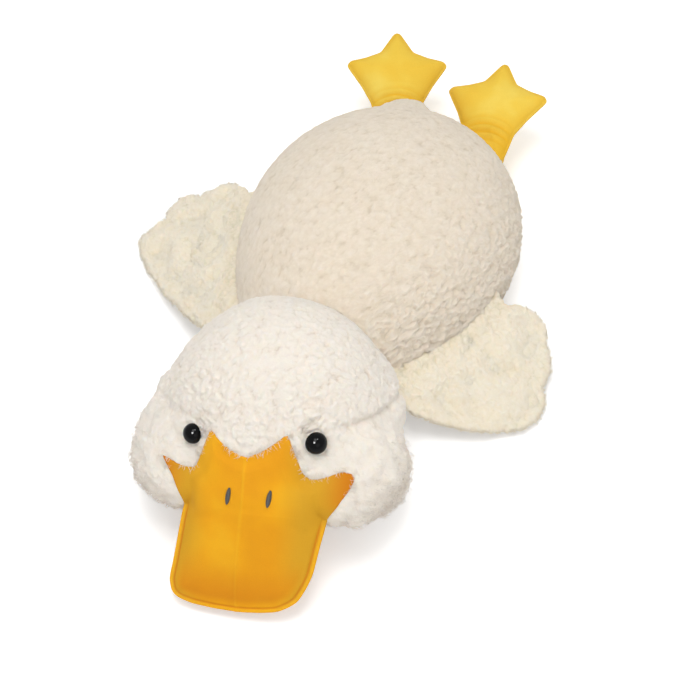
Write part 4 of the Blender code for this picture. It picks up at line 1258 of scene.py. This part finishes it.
def make_foot(side_name, side):
    joint = JOINTS[f"leg_{side_name}_swing"]
    place, seam_line = Vector(joint["pos_m"]), Vector(joint["axis"])
    swing, tilt = math.radians(FOOT_SWINGS[side_name]), math.radians(FOOT_TILT)
    flat_reach = Vector((-math.sin(swing), math.cos(swing), 0.0))
    across = Vector((math.cos(swing), math.sin(swing), 0.0))
    slant = math.atan2(seam_line.dot(flat_reach), seam_line.dot(across))
    reach = Matrix.Rotation(tilt, 3, seam_line) @ flat_reach
    lateral = Matrix.Rotation(tilt, 3, seam_line) @ across
    matrix = Matrix((lateral, reach, lateral.cross(reach))).transposed().to_4x4()
    matrix.translation = place + reach * LEG_LENGTH
    line = rounded(even_line(foot_outline(slant), FOOT_POINTS), 3)
    upper, lower, faces = pillow(line, (0.0, 0.0), ease_out(FOOT_RINGS), FOOT_RINGS)
    flat = np.concatenate((upper, lower))
    top = np.arange(len(flat)) < len(upper)
    inset = distance_to(flat, line)
    puff = foot_puff(flat, line, slant)
    rim = FOOT_CLOTH_THICKNESS * bulge(inset, FOOT_RIM_WIDTH)
    fold_place = flat[:, 1] + LEG_LENGTH * 0.62 + 8.0 * flat[:, 0] ** 2
    folds = np.sin(fold_place * FOOT_FOLDS_PER_METRE) * bell(fold_place, 0.015) * puff
    height = rim + (FOOT_HALF_THICKNESS - FOOT_CLOTH_THICKNESS) * puff + FOOT_FOLD_HEIGHT * folds * top
    height += 0.0008 * noise_at(np.column_stack((flat, top)), 0.020, 6.0 + side) * puff
    points = moved(matrix, np.column_stack((flat, np.where(top, height, -height))))
    piece = add_piece("foot_cloth_" + side_name, points, faces, FOOT_CLOTH)
    # Painted shade in the hollows of the wrinkles, towards the leg and along the rim.
    shade = np.clip(-folds, 0.0, 1.0) * 0.8 + 0.35 * (1.0 - smooth(flat[:, 1], -0.050, -0.015))
    shade += 0.40 * (1.0 - smooth(inset, 0.001, 0.011))
    add_attributes(piece, edge=bell(inset, 0.0012) * 0.9, fold=np.clip(shade, 0.0, 1.0))
    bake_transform(piece)
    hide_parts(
        f"foot_{side_name}_top_panel", f"foot_{side_name}_sole_panel", f"foot_{side_name}_filling"
    )


# Stage

def seen_directly(tree):
    """1 for the rays of the camera and of what mirrors or bends its view."""
    path = add_node(tree, "ShaderNodeLightPath")
    seen = path.outputs["Is Camera Ray"]
    for ray in ("Is Glossy Ray", "Is Transmission Ray"):
        either = add_node(tree, "ShaderNodeMath", operation="MAXIMUM")
        tree.links.new(seen, either.inputs[0])
        tree.links.new(path.outputs[ray], either.inputs[1])
        seen = either.outputs["Value"]
    return seen


def floor_material():
    """Pale floor that keeps the shadow and is white to the camera and to what mirrors it."""
    material = grained_material("floor_paint", (0.93, 0.93, 0.93), (0.94, 0.94, 0.94), 3.0, 1.0, 0.0)
    tree = material.node_tree
    share = add_node(tree, "ShaderNodeMath", operation="MULTIPLY")
    share.inputs[1].default_value = FLOOR_GLOW
    tree.links.new(seen_directly(tree), share.inputs[0])
    glow = add_node(tree, "ShaderNodeEmission")
    tree.links.new(share.outputs["Value"], glow.inputs["Strength"])
    total = add_node(tree, "ShaderNodeAddShader")
    tree.links.new(tree.nodes["Principled BSDF"].outputs["BSDF"], total.inputs[0])
    tree.links.new(glow.outputs["Emission"], total.inputs[1])
    tree.links.new(total.outputs["Shader"], tree.nodes["Material Output"].inputs["Surface"])
    return material


def make_floor():
    places = FLOOR_HALF_WIDTH * (2.0 * np.arange(FLOOR_STEPS + 1) / FLOOR_STEPS - 1.0)
    points = [(x, y, 0.0) for y in places for x in places]
    faces = grid_faces(FLOOR_STEPS + 1, FLOOR_STEPS + 1, wrapped=False)
    floor = bpy.data.objects.new("floor", make_mesh("floor", points, faces))
    floor.data.materials.append(floor_material())
    bpy.context.scene.collection.objects.link(floor)


def make_world():
    """White to the camera, and a plain soft light to everything else."""
    world = bpy.data.worlds.new("studio")
    bpy.context.scene.world = world
    world.use_nodes = True
    tree = world.node_tree
    ambient = tree.nodes["Background"]
    set_inputs(ambient, {"Color": (*WHITE, 1.0), "Strength": AMBIENT_LIGHT})
    white = add_node(tree, "ShaderNodeBackground")
    set_inputs(white, {"Color": (*WHITE, 1.0)})
    mix = add_node(tree, "ShaderNodeMixShader")
    tree.links.new(seen_directly(tree), mix.inputs["Fac"])
    tree.links.new(ambient.outputs["Background"], mix.inputs[1])
    tree.links.new(white.outputs["Background"], mix.inputs[2])
    tree.links.new(mix.outputs["Shader"], tree.nodes["World Output"].inputs["Surface"])


def camera_axes():
    back = Vector(direction_at(CAMERA_AZIMUTH, CAMERA_ELEVATION))
    right = Vector(direction_at(CAMERA_AZIMUTH + 90.0, 0.0))
    return right, back.cross(right), back


def make_camera():
    data = bpy.data.cameras.new("camera")
    data.sensor_fit = "HORIZONTAL"
    data.sensor_width = SENSOR_WIDTH
    data.lens = SENSOR_WIDTH * FOCAL_PIXELS / PHOTO_SIZE
    camera = bpy.data.objects.new("camera", data)
    right, up, back = camera_axes()
    turn = Matrix((right, up, back)).transposed().to_4x4()
    camera.matrix_world = Matrix.Translation(back * CAMERA_DISTANCE) @ turn
    bpy.context.scene.collection.objects.link(camera)
    bpy.context.scene.camera = camera

def add_light(name, across, up, back, size, power, shine_only=False):
    """A soft square light aimed at the duck, placed across, up and back by the photographer's view."""
    place = sum((axis * share for axis, share in zip(camera_axes(), (across, up, back))), Vector())
    data = bpy.data.lights.new(name, "AREA")
    data.shape = "SQUARE"
    data.size = size
    data.energy = power
    light = bpy.data.objects.new(name, data)
    light.location = place
    light.visible_diffuse = not shine_only
    light.rotation_euler = place.to_track_quat("Z", "Y").to_euler()
    bpy.context.scene.collection.objects.link(light)


def make_lights():
    add_light("key", -0.12, 0.98, 1.85, 0.8, 19.5)
    add_light("fill", 0.60, -0.65, 1.70, 1.0, 3.4)
    add_light("glint", -0.40, 0.10, 1.95, 0.50, 90.0, shine_only=True)
    add_light("window", 0.50, 1.10, 1.60, 0.25, 14.0, shine_only=True)


def main():
    bpy.context.scene.view_settings.view_transform = "Standard"
    make_camera()
    make_world()
    make_lights()
    make_floor()
    make_body()
    make_neck()
    make_head()
    make_eyes()
    make_bill_top()
    make_bill_under()
    make_nostrils()
    for side_name, side in SIDES:
        make_wing(side_name, side)
        make_foot(side_name, side)


main()
